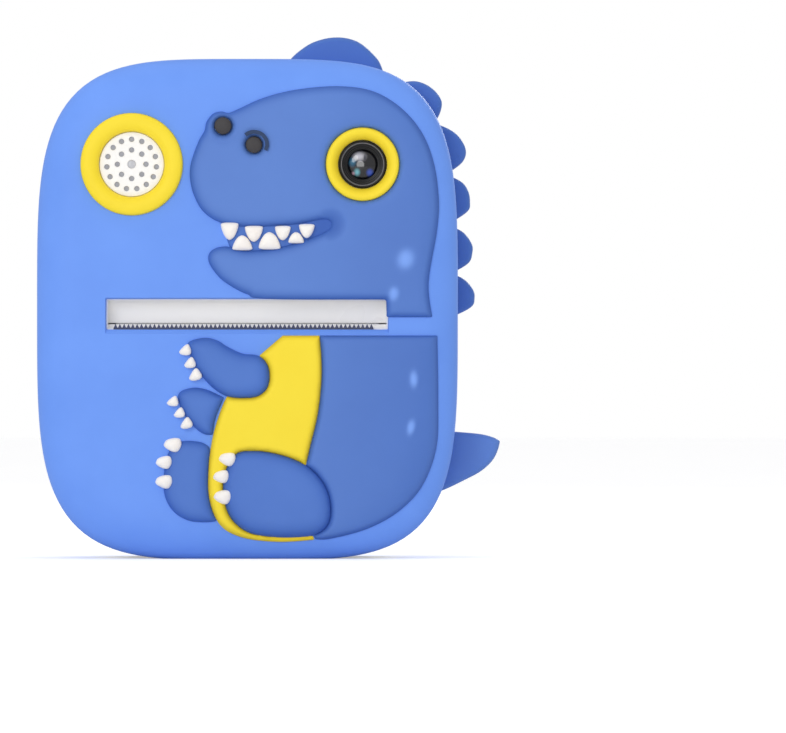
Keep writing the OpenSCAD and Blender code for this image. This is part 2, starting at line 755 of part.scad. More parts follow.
module battery() {
    color("#c9ccd2") translate([-16, 3.6, 61]) cube([46, 8.4, 34]);
}

module speaker() {
    color("#3a3a3c") {
        post(-face_x, face_z, 9, y_in_front + 0.1, y_in_front + 2.4);
        post(-face_x, face_z, 5.5, y_in_front + 2.3, y_in_front + 5);
    }
}

module microphone() {
    color("#b9bcc2") post(mic_x, mic_z, 2.2, y_board + 0.02, y_board + 2);
}

module usb_port() {
    color("#b9bcc2") difference() {
        slab(-41.7, -34.3) stadium([usb_y, usb_z - 2.9], [usb_y, usb_z + 2.9], 1.6);
        slab(-42, -35.2) stadium([usb_y, usb_z - 2.9], [usb_y, usb_z + 2.9], 1.25);
    }
    color("#202226") slab(-40.6, -35) translate([usb_y, usb_z]) square([0.7, 6.6], center = true);
}

module card_slot() {
    color("#b9bcc2") difference() {
        slab(-41.2, -26.2) translate([card_y, card_z]) square([1.9, 13], center = true);
        slab(-42, -27) translate([card_y, card_z]) square([1.2, 11.6], center = true);
    }
}

module memory_card() {
    color("#26282c") slab(-43.4, -28.4) translate([card_y, card_z]) square([0.8, 11], center = true);
}

// ---- Printer ----

// Involute gear in y and z, with one tooth centred on the angle turn
module gear_2d(n, turn) {
    rp = gear_m * n / 2;
    rb = rp * cos(25);
    ra = rp + gear_m * 0.8;
    rr = rp - gear_m * 1.1;
    half = 90 / n - backlash / rp * 90 / PI;
    inv_p = tan(25) * 180 / PI - 25;
    function flank(r) = let (c = acos(min(1, rb / r))) half + inv_p - (tan(c) * 180 / PI - c);
    radii = [for (k = [0 : 4]) max(rb, rr) + (ra - max(rb, rr)) * k / 4];
    polygon([for (k = [0 : n - 1]) let (m = turn + 360 * k / n) each concat(
        [rr * [cos(m - flank(radii[0])), sin(m - flank(radii[0]))]],
        [for (r = radii) r * [cos(m - flank(r)), sin(m - flank(r))]],
        [for (i = [4 : -1 : 0]) radii[i] * [cos(m + flank(radii[i])), sin(m + flank(radii[i]))]],
        [rr * [cos(m + flank(radii[0])), sin(m + flank(radii[0]))]])]);
}

module gear(c, n, turn, x0, bore) {
    slab(x0, x0 + gear_t) translate(c) difference() {
        gear_2d(n, turn);
        circle(bore);
    }
}

module side_plate_2d() {
    difference() {
        polygon([[-15.6, 41], [-15.6, 48.6], [-12, 56.8], [10, 56.8], [10, 37], [4, 30], [5.5, 9],
            [-7, 9], [-14, 26]]);
        translate(platen_c) circle(shaft_r + shaft_gap);
    }
}

module printer_frame() {
    color("#d9dbe0") difference() {
        union() {
            for (s = [0, 1]) mirror([s, 0, 0]) {
                slab(plate_x0, plate_x1) side_plate_2d();
                rod(roll_c, hub_r, plate_x0 - 3.5, plate_x0 + 0.1);
            }
            slab(-plate_x0 - 0.1, plate_x0 + 0.1) {
                polygon([[-5.2, 42], [-3.8, 42], [-3.8, 56.8], [-5.2, 56.8]]);
                polygon([[-13.6, 55.4], [-5, 55.4], [-5, 56.8], [-13.6, 56.8]]);
                intersection() {
                    translate(roll_c) difference() {
                        circle(roll_r + 2.4);
                        circle(roll_r + 1.2);
                    }
                    translate(roll_c) polygon([[0, 0], [-9, 20], [9, 20]]);
                }
            }
        }
        rod(motor_c, motor_shaft_r + 0.4, plate_x0 - 1, plate_x1 + 1);
        rod(idler_c, axle_r, plate_x0 - 1, plate_x1 + 1);
    }
}

module print_head() {
    x = paper_w / 2;
    y = platen_c[0] + platen_r + paper_t + 2 * paper_gap;
    color("#a9adb5") {
        slab(-x, x) polygon([[y, 43], [y + 0.7, 43], [y + 0.7, 50], [y, 50]]);
        slab(-x + 1, x - 1) polygon([[y + 0.7, 41.5], [y + 1.9, 41.5], [y + 1.9, 52.5], [y + 0.7, 52.5]]);
    }
}

module head_spring() {
    y0 = platen_c[0] + platen_r + paper_t + 2 * paper_gap + 1.9;
    y1 = -5.2;
    color("#c4c8ce") translate([0, 0, 45]) linear_extrude(4)
        polygon([[-12, y1 - 0.32], [-12, y1 - 0.02], [-6, y1 - 0.02], [-2, y0 + 0.34], [2, y0 + 0.34],
            [6, y1 - 0.02], [12, y1 - 0.02], [12, y1 - 0.32], [6.2, y1 - 0.32], [2.2, y0 + 0.02],
            [-2.2, y0 + 0.02], [-6.2, y1 - 0.32]]);
}

module platen_roller() {
    color("#2c2c2e") difference() {
        rod(platen_c, platen_r, -paper_w / 2, paper_w / 2);
        rod(platen_c, shaft_r, -paper_w, paper_w);
    }
}

module platen_shaft() {
    color("#c4c8ce") rod(platen_c, shaft_r, -plate_x1 - 0.3, layer_a + gear_t + 0.05);
}

module platen_gear() {
    color("#e9e6dc") gear(platen_c, platen_n, to_idler, layer_a, shaft_r);
}

module idler_gear() {
    color("#e9e6dc") {
        gear(idler_c, pinion_n, to_idler + 180 + 180 / pinion_n, layer_a, axle_r + shaft_gap);
        gear(idler_c, idler_n, to_motor, layer_b, axle_r + shaft_gap);
        difference() {
            rod(idler_c, 2, layer_a + gear_t - 0.1, layer_b + 0.1);
            rod(idler_c, axle_r + shaft_gap, layer_a, layer_b + 1);
        }
    }
}

module idler_axle() {
    color("#c4c8ce") {
        rod(idler_c, axle_r, plate_x0, layer_b + gear_t + 0.3);
        rod(idler_c, 1.8, layer_b + gear_t + 0.2, layer_b + gear_t + 0.9);
    }
}

module motor() {
    color("#b4b8bf") difference() {
        rod(motor_c, motor_r, plate_x0 - 0.05 - motor_l, plate_x0 - 0.05);
        rod(motor_c, motor_shaft_r + shaft_gap, plate_x0 - 3, plate_x0 + 1);
    }
}

module motor_pinion() {
    color("#d8b15a") {
        rod(motor_c, motor_shaft_r, plate_x0 - 2.8, layer_b + gear_t + 0.2);
        gear(motor_c, pinion_n, to_motor + 180 + 180 / pinion_n, layer_b, motor_shaft_r);
    }
}

module cutter() {
    x0 = -29;
    color("#3c3c46") plate(y_case_front - 0.6, y_case_front - 0.1)
        polygon(concat([[x0 + tooth_count * tooth_pitch, slot_z0 - 0.25], [x0, slot_z0 - 0.25]],
            [for (k = [0 : tooth_count - 1]) each [[x0 + (k + 0.1) * tooth_pitch, slot_z0 + 0.15],
                [x0 + (k + 0.5) * tooth_pitch, slot_z0 + 0.95],
                [x0 + (k + 0.9) * tooth_pitch, slot_z0 + 0.15]]]));
}

module paper_roll() {
    color("#fbfbf8") difference() {
        rod(roll_c, roll_r, -paper_w / 2, paper_w / 2);
        rod(roll_c, core_bore_r, -paper_w, paper_w);
    }
}

// Paper from the roll, up behind the platen, over it and out to the slot
module paper_strip() {
    r = platen_r + paper_gap;
    c = platen_c;
    inner = concat([[roll_c[0] - roll_r - 0.1, roll_c[1] + 3], [c[0] + r, c[1] - 3]],
        [for (a = [0 : 15 : 75]) c + r * [cos(a), sin(a)]], [[y_in_front + 2, slot_z0 + 0.9]]);
    outer = concat([[roll_c[0] - roll_r - 0.1 + paper_t, roll_c[1] + 3], [c[0] + r + paper_t, c[1] - 3]],
        [for (a = [0 : 15 : 75]) c + (r + paper_t) * [cos(a), sin(a)]],
        [[y_in_front + 2, slot_z0 + 0.9 + paper_t]]);
    color("#fbfbf8") slab(-paper_w / 2, paper_w / 2) polygon(concat(inner,
        [for (k = [len(outer) - 1 : -1 : 0]) outer[k]]));
}

// ---- Door and fasteners ----

module paper_door() {
    half_x = door_x - door_gap;
    color("#f4f4f6") difference() {
        union() {
            base_strip(half_x, door_y0 + door_gap, hinge_c[0] - 2, 0, door_t);
            intersection() {
                base_strip(half_x, hinge_c[0] - 3, hinge_c[0] - 0.3, 0, door_t);
                for (s = [-1, 0, 1]) translate([s * (half_x + ear_x1 + door_gap) / 2, 0, 0])
                    cube([s == 0 ? 2 * (ear_x0 - door_gap) : half_x - ear_x1 - door_gap, big, 20],
                        center = true);
            }
            rod(hinge_c, barrel_r, -ear_x0 + door_gap, ear_x0 - door_gap);
        }
        for (s = [-1, 1]) rod(hinge_c, hinge_pin_r + 0.05, s > 0 ? ear_x0 - 4.5 : -ear_x0 - 1,
            s > 0 ? ear_x0 + 1 : -ear_x0 + 4.5);
        translate([-7, door_y0, -1]) cube([14, 2.2, 1.8]);
    }
}

module door_hinge_pins() {
    color("#c4c8ce") for (s = [-1, 1])
        rod(hinge_c, hinge_pin_r, s > 0 ? ear_x0 - 4 : -ear_x1, s > 0 ? ear_x1 : -ear_x0 + 4);
}

module case_screws() {
    color("#9fa3aa") for (x = [-1, 1], z = [-1, 1]) {
        post(x * screw_x, mid_z + z * screw_dz, case_screw_r, 6, y_screw_seat + 0.1);
        post(x * screw_x, mid_z + z * screw_dz, 1.9, y_screw_seat + 0.02, y_screw_seat + 1.2);
    }
}

module board_screws() {
    color("#9fa3aa") for (p = board_screw_c) {
        post(p[0], p[1], 1, y_board - 5, y_board + 0.1);
        post(p[0], p[1], 1.9, y_board + 0.02, y_board + 1);
    }
}

jacket();
dino_head();
dino_body();
belly();
near_arm();
far_arm();
near_leg();
far_leg();
teeth();
claws();
nostrils();
back_spikes();
tail();
speaker_ring();
speaker_grille();
eye_ring();
front_case();
rear_case();
screen_window();
lcd_panel();
key_up();
key_down();
key_left();
key_right();
key_back();
key_power();
key_menu();
key_flip();
key_shoot();
key_switches();
main_board();
battery();
speaker();
microphone();
usb_port();
card_slot();
memory_card();
front_lens_barrel();
front_lens_glass();
front_camera_module();
rear_lens_barrel();
rear_lens_glass();
rear_camera_module();
printer_frame();
print_head();
head_spring();
platen_roller();
platen_shaft();
platen_gear();
idler_gear();
idler_axle();
motor();
motor_pinion();
cutter();
paper_roll();
paper_strip();
paper_door();
door_hinge_pins();
case_screws();
board_screws();
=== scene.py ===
"""A kids instant-print camera: white moulded camera in a soft silicone jacket with a dinosaur in relief.
Pieces are modelled in millimetres, in the frame's axes, and turned to metres when they become meshes."""
import math

import bmesh
import bpy
import numpy as np
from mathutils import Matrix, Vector


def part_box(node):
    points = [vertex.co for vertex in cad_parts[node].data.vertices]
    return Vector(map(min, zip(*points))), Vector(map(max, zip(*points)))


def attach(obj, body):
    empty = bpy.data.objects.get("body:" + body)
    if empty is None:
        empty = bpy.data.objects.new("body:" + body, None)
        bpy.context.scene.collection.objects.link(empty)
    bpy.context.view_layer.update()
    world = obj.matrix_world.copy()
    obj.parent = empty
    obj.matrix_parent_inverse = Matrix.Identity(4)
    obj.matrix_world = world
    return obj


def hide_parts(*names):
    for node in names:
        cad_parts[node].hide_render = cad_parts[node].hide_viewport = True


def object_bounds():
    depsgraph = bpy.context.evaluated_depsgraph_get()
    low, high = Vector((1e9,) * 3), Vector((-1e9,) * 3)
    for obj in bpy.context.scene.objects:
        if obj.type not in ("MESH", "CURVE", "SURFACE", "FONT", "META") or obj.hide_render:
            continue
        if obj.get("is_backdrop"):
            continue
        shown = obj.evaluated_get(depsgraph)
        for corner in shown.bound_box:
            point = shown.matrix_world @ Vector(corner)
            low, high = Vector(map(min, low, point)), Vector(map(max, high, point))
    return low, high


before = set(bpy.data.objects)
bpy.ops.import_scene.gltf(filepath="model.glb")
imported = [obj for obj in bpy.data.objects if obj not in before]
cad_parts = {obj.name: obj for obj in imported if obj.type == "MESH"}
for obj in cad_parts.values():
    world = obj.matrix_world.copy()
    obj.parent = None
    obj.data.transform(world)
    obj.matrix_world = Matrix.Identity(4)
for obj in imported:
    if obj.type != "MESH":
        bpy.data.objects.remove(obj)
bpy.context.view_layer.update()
MM = 0.001

# ---- Sizes taken from the frame, in millimetres ----
jacket_low, jacket_high = (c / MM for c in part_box("jacket"))
HALF_W = -jacket_low.x
BODY_H = jacket_high.z
FRONT_Y, BACK_Y = jacket_low.y, jacket_high.y
SQUARENESS = 4.0
BASE_CUT = 0.35
HALF_H = (BODY_H + BASE_CUT) / 2
MID_Z = (BODY_H - BASE_CUT) / 2
EDGE_IN, EDGE_DEEP = 9.0, 6.0
REAR_ROUND = 5.0
JACKET_T = 2.0
LIP_SIDE, LIP_BASE = 6.2, 7.6
SLOT_HALF_W, SLOT_Z0, SLOT_Z1 = 30.2, 50.0, 56.0
TURN_STEPS = 96
DOME_STEPS = 8


def centre(node):
    """Middle of a CAD node in millimetres."""
    low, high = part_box(node)
    return (low + high) / 2 / MM


# ---- Outlines ----
def smooth_outline(points, steps=6):
    """Closed curve through the points; a point given twice is a corner."""
    count = len(points)
    out = []
    for i in range(count):
        a, b, c, d = (np.array(points[(i + k) % count], float) for k in (-1, 0, 1, 2))
        if (b == c).all():
            continue
        for k in range(steps):
            t = k / steps
            out.append(0.5 * (2 * b + (c - a) * t + (2 * a - 5 * b + 4 * c - d) * t ** 2
                              + (3 * b - a - 3 * c + d) * t ** 3))
    return np.array(out)


def squircle(half_w, half_h, mid_z, count):
    """Points at even steps round a squircle, from the right side anticlockwise."""
    turn = np.linspace(0, 2 * np.pi, 2400, endpoint=False)
    power = 2 / SQUARENESS
    x = half_w * np.sign(np.cos(turn)) * np.abs(np.cos(turn)) ** power
    z = mid_z + half_h * np.sign(np.sin(turn)) * np.abs(np.sin(turn)) ** power
    length = np.concatenate([[0], np.cumsum(np.hypot(np.diff(x, append=x[:1]), np.diff(z, append=z[:1])))])
    at = np.linspace(0, length[-1], count, endpoint=False)
    return np.column_stack([np.interp(at, length, np.append(x, x[0])),
                            np.interp(at, length, np.append(z, z[0]))])


def rounded_rect(width, height, radius, mid=(0, 0), arc=10):
    """Rounded rectangle in x and z."""
    out = []
    for sx, sz, start in ((1, 1, 0), (-1, 1, 90), (-1, -1, 180), (1, -1, 270)):
        for k in range(arc + 1):
            a = math.radians(start + 90 * k / arc)
            out.append((mid[0] + sx * (width / 2 - radius) + radius * math.cos(a),
                        mid[1] + sz * (height / 2 - radius) + radius * math.sin(a)))
    return np.array(out)


def round_outline(x, z, radius, count=64):
    turn = np.linspace(0, 2 * np.pi, count, endpoint=False)
    return np.column_stack([x + radius * np.cos(turn), z + radius * np.sin(turn)])


def polar(radius, degrees):
    return radius * math.cos(math.radians(degrees)), radius * math.sin(math.radians(degrees))


def grown(outline, by):
    """The outline moved outwards along its own normals; a negative value draws it in."""
    before, after = np.roll(outline, 1, axis=0), np.roll(outline, -1, axis=0)
    tangent = after - before
    tangent /= np.linalg.norm(tangent, axis=1, keepdims=True)
    area = np.sum(outline[:, 0] * after[:, 1] - after[:, 0] * outline[:, 1])
    normal = np.column_stack([tangent[:, 1], -tangent[:, 0]]) * np.sign(area)
    return outline + by * normal


def front_drop(x, z):
    """How far the rounded front of the jacket lies behind its flat middle at x and z."""
    low, high = np.zeros_like(x), np.full_like(x, EDGE_IN)
    for _ in range(24):
        mid = (low + high) / 2
        outside = (np.abs(x) / (HALF_W - mid)) ** SQUARENESS + (
            np.abs(z - MID_Z) / (HALF_H - mid)) ** SQUARENESS > 1
        high = np.where(outside, mid, high)
        low = np.where(outside, low, mid)
    return EDGE_DEEP * (1 - np.sqrt(1 - (1 - low / EDGE_IN) ** 2))


# ---- Mesh helpers ----
def loft(bm, rings):
    """A closed body through rings of equal count, each a list of (x, y, z)."""
    count = len(rings[0])
    place = bm.verts.layers.int.get("place") or bm.verts.layers.int.new("place")
    start = bmesh.ops.create_circle(bm, segments=count, radius=1, cap_ends=False)["verts"]
    start.sort(key=lambda v: math.atan2(v.co.y, v.co.x) % (2 * math.pi))
    for i, v in enumerate(start):
        v[place] = i
        v.co = rings[0][i]
    edges = list({e for v in start for e in v.link_edges})
    bmesh.ops.contextual_create(bm, geom=edges)
    for ring in rings[1:]:
        geom = bmesh.ops.extrude_edge_only(bm, edges=edges)["geom"]
        for v in (g for g in geom if isinstance(g, bmesh.types.BMVert)):
            v.co = ring[v[place]]
        new = {g for g in geom if isinstance(g, bmesh.types.BMVert)}
        edges = [g for g in geom if isinstance(g, bmesh.types.BMEdge) and set(g.verts) <= new]
    bmesh.ops.contextual_create(bm, geom=edges)


def at_y(outline, y):
    """An outline in x and z as a ring at y."""
    return [(p[0], y, p[1]) for p in outline]


def plate(bm, outline, y0, y1, edge=0.3, steps=3):
    """A plate with a rounded front or back rim: y1 is the finished face, y0 the hidden one."""
    way = 1 if y1 > y0 else -1
    rings = [at_y(outline, y0)]
    for k in range(steps + 1):
        a = math.pi / 2 * k / steps
        rings.append(at_y(grown(outline, -edge * (1 - math.cos(a))), y1 - way * edge * (1 - math.sin(a))))
    loft(bm, rings)


def lathe(bm, profile, mid, back=False):
    """Turns a closed profile of (radius, forward) about a y axis through mid. Forward is -y, or +y at the
    back."""
    way = 1 if back else -1
    verts = [bm.verts.new((mid[0] + r, mid[1] + way * f, mid[2])) for r, f in profile]
    edges = [bm.edges.new((verts[k], verts[(k + 1) % len(verts)])) for k in range(len(verts))]
    if profile[0][0] == 0 and profile[-1][0] == 0:
        bm.edges.remove(edges.pop())
    bmesh.ops.spin(bm, geom=verts + edges, cent=mid, axis=(0, 1, 0), angle=2 * math.pi, steps=TURN_STEPS,
                   use_merge=True)
    bmesh.ops.remove_doubles(bm, verts=bm.verts, dist=1e-4)


def ribbon(bm, points, width, y0, y1, closed=False):
    """A flat raised line of even width through points in x and z."""
    pts = np.array(points, float)
    ahead = np.roll(pts, -1, axis=0) - pts
    if not closed:
        ahead[-1] = ahead[-2]
    behind = np.roll(ahead, 1, axis=0)
    if not closed:
        behind[0] = ahead[0]
    unit = [v / np.maximum(np.linalg.norm(v, axis=1, keepdims=True), 1e-9) for v in (ahead, behind)]
    tangent = unit[0] + unit[1]
    tangent /= np.maximum(np.linalg.norm(tangent, axis=1, keepdims=True), 1e-9)
    side = np.column_stack([-tangent[:, 1], tangent[:, 0]]) * width / 2
    left = [bm.verts.new((p[0], y0, p[1])) for p in pts + side]
    right = [bm.verts.new((p[0], y0, p[1])) for p in pts - side]
    last = len(pts) if closed else len(pts) - 1
    faces = []
    for i in range(last):
        j = (i + 1) % len(pts)
        faces.append(bm.faces.new((left[i], left[j], right[j], right[i])))
    top = bmesh.ops.extrude_face_region(bm, geom=faces)["geom"]
    bmesh.ops.translate(bm, vec=(0, y1 - y0, 0), verts=[g for g in top if isinstance(g, bmesh.types.BMVert)])


def mesh_object(name, bm):
    """A closed bmesh in millimetres becomes an object in metres at the origin."""
    bmesh.ops.recalc_face_normals(bm, faces=bm.faces)
    bmesh.ops.scale(bm, vec=(MM, MM, MM), verts=bm.verts)
    mesh = bpy.data.meshes.new(name)
    bm.to_mesh(mesh)
    bm.free()
    obj = bpy.data.objects.new(name, mesh)
    bpy.context.scene.collection.objects.link(obj)
    return obj


def bake(obj):
    """Replaces the object's mesh by its shape with its modifiers."""
    bpy.context.view_layer.update()
    graph = bpy.context.evaluated_depsgraph_get()
    mesh = bpy.data.meshes.new_from_object(obj.evaluated_get(graph))
    obj.modifiers.clear()
    obj.data = mesh
    return obj


def combine(obj, others, operation):
    """Cuts the others out of the object or joins them to it, and removes them."""
    for other in others:
        mod = obj.modifiers.new("combine", "BOOLEAN")
        mod.operation = operation
        mod.solver = "EXACT"
        mod.object = other
    bake(obj)
    for other in others:
        bpy.data.objects.remove(other)
    return obj


def carve(obj, cutters):
    return combine(obj, cutters, "DIFFERENCE")


def shade(obj, angle=35):
    """Smooth shading with sharp edges past the angle."""
    for poly in obj.data.polygons:
        poly.use_smooth = True
    obj.data.set_sharp_from_angle(angle=math.radians(angle))


def place(obj, body, material, slot_name, nodes=(), angle=35):
    """Finishes a piece: its material, its body, and the CAD nodes that it stands for."""
    obj.data.materials.clear()
    obj.data.materials.append(material)
    shade(obj, angle)
    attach(obj, body)
    if nodes:
        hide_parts(*nodes)
    return obj


def shell_piece(name, bm, material, slot_name, nodes=(), angle=35):
    """A finished piece of the fixed body, from its bmesh."""
    return place(mesh_object(name, bm), "shell", material, slot_name, nodes, angle)


# ---- Materials ----
# Grain and mottle sizes are in millimetres. The grain of a real moulding is under 0.1 mm, too fine to
# show, so it is drawn several times coarser.
def linear(hex_colour):
    """sRGB hex to a linear colour."""
    parts = [int(hex_colour[k:k + 2], 16) / 255 for k in (1, 3, 5)]
    return tuple(c / 12.92 if c <= 0.04045 else ((c + 0.055) / 1.055) ** 2.4 for c in parts) + (1.0,)


def add(tree, kind, props=(), inputs=(), links=()):
    """Adds one node with its settings, input values and links."""
    node = tree.nodes.new(kind)
    for key, value in dict(props).items():
        setattr(node, key, value)
    for key, value in dict(inputs).items():
        node.inputs[key].default_value = value
    for key, source in dict(links).items():
        tree.links.new(source, node.inputs[key])
    return node


def moulded(name, colour, shade_colour, rough, grain_mm, bump, mottle_mm=18, painted_shade_colour=None, **shader):
    """A moulded plastic or rubber: colour that drifts slightly, and a fine surface grain. With a painted
    shade colour, painted shade darkens it where the mesh attribute rim is high, and a painted highlight
    lightens it where spot is high."""
    mat = bpy.data.materials.new(name)
    mat.use_nodes = True
    tree = mat.node_tree
    surface = tree.nodes["Principled BSDF"]
    where = add(tree, "ShaderNodeTexCoord")
    drift = add(tree, "ShaderNodeTexNoise", {"noise_dimensions": "3D"},
                {"Scale": 1000 / mottle_mm, "Detail": 3.0, "Roughness": 0.55},
                {"Vector": where.outputs["Object"]})
    tint = add(tree, "ShaderNodeValToRGB", links={"Fac": drift.outputs["Fac"]})
    tint.color_ramp.elements[0].position = 0.25
    tint.color_ramp.elements[1].position = 0.75
    tint.color_ramp.elements[0].color = linear(shade_colour)
    tint.color_ramp.elements[1].color = linear(colour)
    grain = add(tree, "ShaderNodeTexNoise", inputs={"Scale": 1000 / grain_mm, "Detail": 2.0},
                links={"Vector": where.outputs["Object"]})
    rub = add(tree, "ShaderNodeMapRange",
              inputs={"From Min": 0.3, "From Max": 0.7, "To Min": rough - 0.05, "To Max": rough + 0.06},
              links={"Value": drift.outputs["Fac"]})
    dent = add(tree, "ShaderNodeBump", inputs={"Strength": bump, "Distance": 0.0001},
               links={"Height": grain.outputs["Fac"]})
    paint = tint.outputs["Color"]
    if painted_shade_colour:
        # Painted shade: a darker colour mixed in along the relief's outlines, where the attribute rim is high
        rim = add(tree, "ShaderNodeAttribute", {"attribute_name": "rim"})
        mix = add(tree, "ShaderNodeMix", {"data_type": "RGBA"}, {7: linear(painted_shade_colour)},
                  {0: rim.outputs["Fac"], 6: paint})
        # Painted highlight: a lighter colour mixed in on the raised spots, where the attribute spot is high
        glow = add(tree, "ShaderNodeAttribute", {"attribute_name": "spot"})
        mix = add(tree, "ShaderNodeMix", {"data_type": "RGBA"}, {7: linear(SPOT_HIGHLIGHT_COLOUR)},
                  {0: glow.outputs["Fac"], 6: mix.outputs[2]})
        paint = mix.outputs[2]
    tree.links.new(paint, surface.inputs["Base Color"])
    tree.links.new(rub.outputs["Result"], surface.inputs["Roughness"])
    tree.links.new(dent.outputs["Normal"], surface.inputs["Normal"])
    for key, value in shader.items():
        surface.inputs[key.replace("_", " ")].default_value = value
    return mat


# Colour of the painted highlight on the raised spots
SPOT_HIGHLIGHT_COLOUR = "#7FA8F6"
SOFT = {"IOR": 1.41, "Specular_IOR_Level": 0.3}
# Moulded silicone rubber: satin, with broad soft highlights and a faint even grain
jacket_silicone = moulded("moulded_silicone_light_blue", "#74A2FB", "#6C9AF4", 0.52, 0.35, 0.10, **SOFT)
# The same silicone with more pigment, with painted shade darkening it along outlines and creases
dino_silicone = moulded("moulded_silicone_mid_blue", "#638AD6", "#5D83CF", 0.52, 0.35, 0.12,
                        painted_shade_colour="#4067B8", **SOFT)
# Arms and legs: a little deeper again, so that they stand off the body, with painted shade along their edges
limb_silicone = moulded("moulded_silicone_limb_blue", "#5880D0", "#5078C8", 0.52, 0.35, 0.12,
                        painted_shade_colour="#3F66BA", **SOFT)
# The deepest of the skin blues, still satin
spike_silicone = moulded("moulded_silicone_deep_blue", "#5077C8", "#4870C0", 0.50, 0.35, 0.12, **SOFT)
# Bright yellow silicone, with painted shade in ochre along its outline
yellow_silicone = moulded("moulded_silicone_yellow", "#FFE63E", "#FCE033", 0.50, 0.35, 0.10,
                          painted_shade_colour="#E9C72A", **SOFT)
# Teeth and claws: smoother silicone with slightly sharper highlights
cream_silicone = moulded("moulded_silicone_cream", "#FFFCF8", "#FBF3EC", 0.42, 0.30, 0.08, mottle_mm=3,
                         **SOFT)
# Nostrils: charcoal silicone that swallows most of the light
dark_silicone = moulded("moulded_silicone_charcoal", "#474547", "#3D3B3D", 0.5, 0.3, 0.1, mottle_mm=3, **SOFT)
# Painted shadow of the fold beside a nostril: a dark slate ribbon
painted_fold_shadow = moulded("painted_fold_shadow_slate", "#33486C", "#2B3E60", 0.5, 0.3, 0.1, mottle_mm=3, **SOFT)
# Glossy ABS: clean white with crisp highlights and hardly any texture
white_abs = moulded("gloss_abs_white", "#FAF9F8", "#F6F5F4", 0.30, 0.8, 0.05)
# Silk-finish ABS: evenly blue, less shiny than the case
key_plastic = moulded("silk_abs_key_blue", "#6798F4", "#608FEC", 0.40, 0.4, 0.08)
# Pad-printed ink: a matt line a shade darker than its key
key_ink = moulded("pad_print_dark_blue", "#4F7BDB", "#4872D2", 0.5, 0.4, 0.05)
# Acrylic printed dark on its back: deep charcoal behind a glossy face
window_acrylic = moulded("back_printed_acrylic_charcoal", "#303032", "#2C2C2E", 0.14, 1.2, 0.02, IOR=1.45,
                         Specular_IOR_Level=0.4)
# Spark-eroded ABS: matt black with a fine tooth
black_abs = moulded("matt_abs_black", "#141518", "#0E0F11", 0.42, 0.4, 0.15, IOR=1.4)
# The same finish in light grey
grey_abs = moulded("matt_abs_light_grey", "#D9DBE0", "#CFD2D8", 0.45, 0.4, 0.15)
# Moulded acetal: ivory and slightly waxy
acetal = moulded("moulded_acetal_ivory", "#EAE6DA", "#E0DBCC", 0.38, 0.4, 0.1, IOR=1.48)
# Ground rubber: dull, nearly black and rough to look at
platen_rubber = moulded("ground_rubber_black", "#2B2B2D", "#222224", 0.75, 0.2, 0.3)
# Solder mask over weave: green, half glossy and slightly uneven
circuit_board = moulded("solder_masked_board_green", "#1F6B45", "#185A39", 0.35, 0.6, 0.3, mottle_mm=2)
# Coated paper: white and chalky, with a fine tooth
thermal_paper = moulded("coated_paper_white", "#FBFBF9", "#F2F2EF", 0.6, 0.15, 0.2)
# Nickel plate: bright neutral metal with soft reflections
steel = moulded("nickel_plated_steel", "#C3C7CD", "#B2B6BD", 0.28, 0.25, 0.1, Metallic=1.0)
# Blackened blade: dark blue-grey with a dulled metal sheen
blued_steel = moulded("blackened_steel_blade", "#33395A", "#2A2F49", 0.35, 0.25, 0.1, Metallic=0.4)
# Milled aluminium: pale metal, more diffuse than the plating
aluminium = moulded("milled_aluminium", "#B3B7BE", "#A5A9B0", 0.35, 0.2, 0.2, Metallic=1.0)
# Turned brass: yellow metal with clear highlights
brass = moulded("turned_brass", "#D6AF62", "#C79E50", 0.3, 0.2, 0.1, Metallic=1.0)
# Laminated foil: silver that ripples gently
foil = moulded("battery_foil_silver", "#C9CCD2", "#BCC0C7", 0.4, 2.5, 0.4, Metallic=0.8)


def lens_glass(name, mid, painted_reflections):
    """Coated lens glass: dark, with soft oval painted reflections in coating colours about the middle."""
    mat = moulded(name, "#17171E", "#121218", 0.06, 1.5, 0.01, Coat_Weight=0.3, Coat_Roughness=0.02)
    tree = mat.node_tree
    surface = tree.nodes["Principled BSDF"]
    where = add(tree, "ShaderNodeTexCoord")
    paint = surface.inputs["Base Color"].links[0].from_socket
    for right, up, wide, high, colour in painted_reflections:
        local = add(tree, "ShaderNodeVectorMath", {"operation": "MULTIPLY"},
                    {1: (1000 / wide, 0, 1000 / high)}, {0: where.outputs["Object"]})
        away = add(tree, "ShaderNodeVectorMath", {"operation": "DISTANCE"},
                   {1: ((mid.x + right) / wide, 0, (mid.z + up) / high)}, {0: local.outputs["Vector"]})
        amount = add(tree, "ShaderNodeMapRange", {"interpolation_type": "SMOOTHSTEP"},
                     {"From Min": 0.1, "From Max": 1.2, "To Min": 1.0, "To Max": 0.0},
                     {"Value": away.outputs["Value"]})
        paint = add(tree, "ShaderNodeMix", {"data_type": "RGBA"}, {7: linear(colour)},
                    {0: amount.outputs["Result"], 6: paint}).outputs[2]
    tree.links.new(paint, surface.inputs["Base Color"])
    tree.links.remove(surface.inputs["Roughness"].links[0])
    surface.inputs["Roughness"].default_value = 0.05
    return mat


def glowing(name, colour, shade_colour):
    """Lit picture behind clear acrylic."""
    mat = moulded(name, colour, shade_colour, 0.12, 0.5, 0.01, mottle_mm=9, IOR=1.49, Coat_Weight=0.4,
                  Coat_Roughness=0.04)
    surface = mat.node_tree.nodes["Principled BSDF"]
    surface.inputs["Emission Color"].default_value = linear(colour)
    surface.inputs["Emission Strength"].default_value = 0.25
    return mat
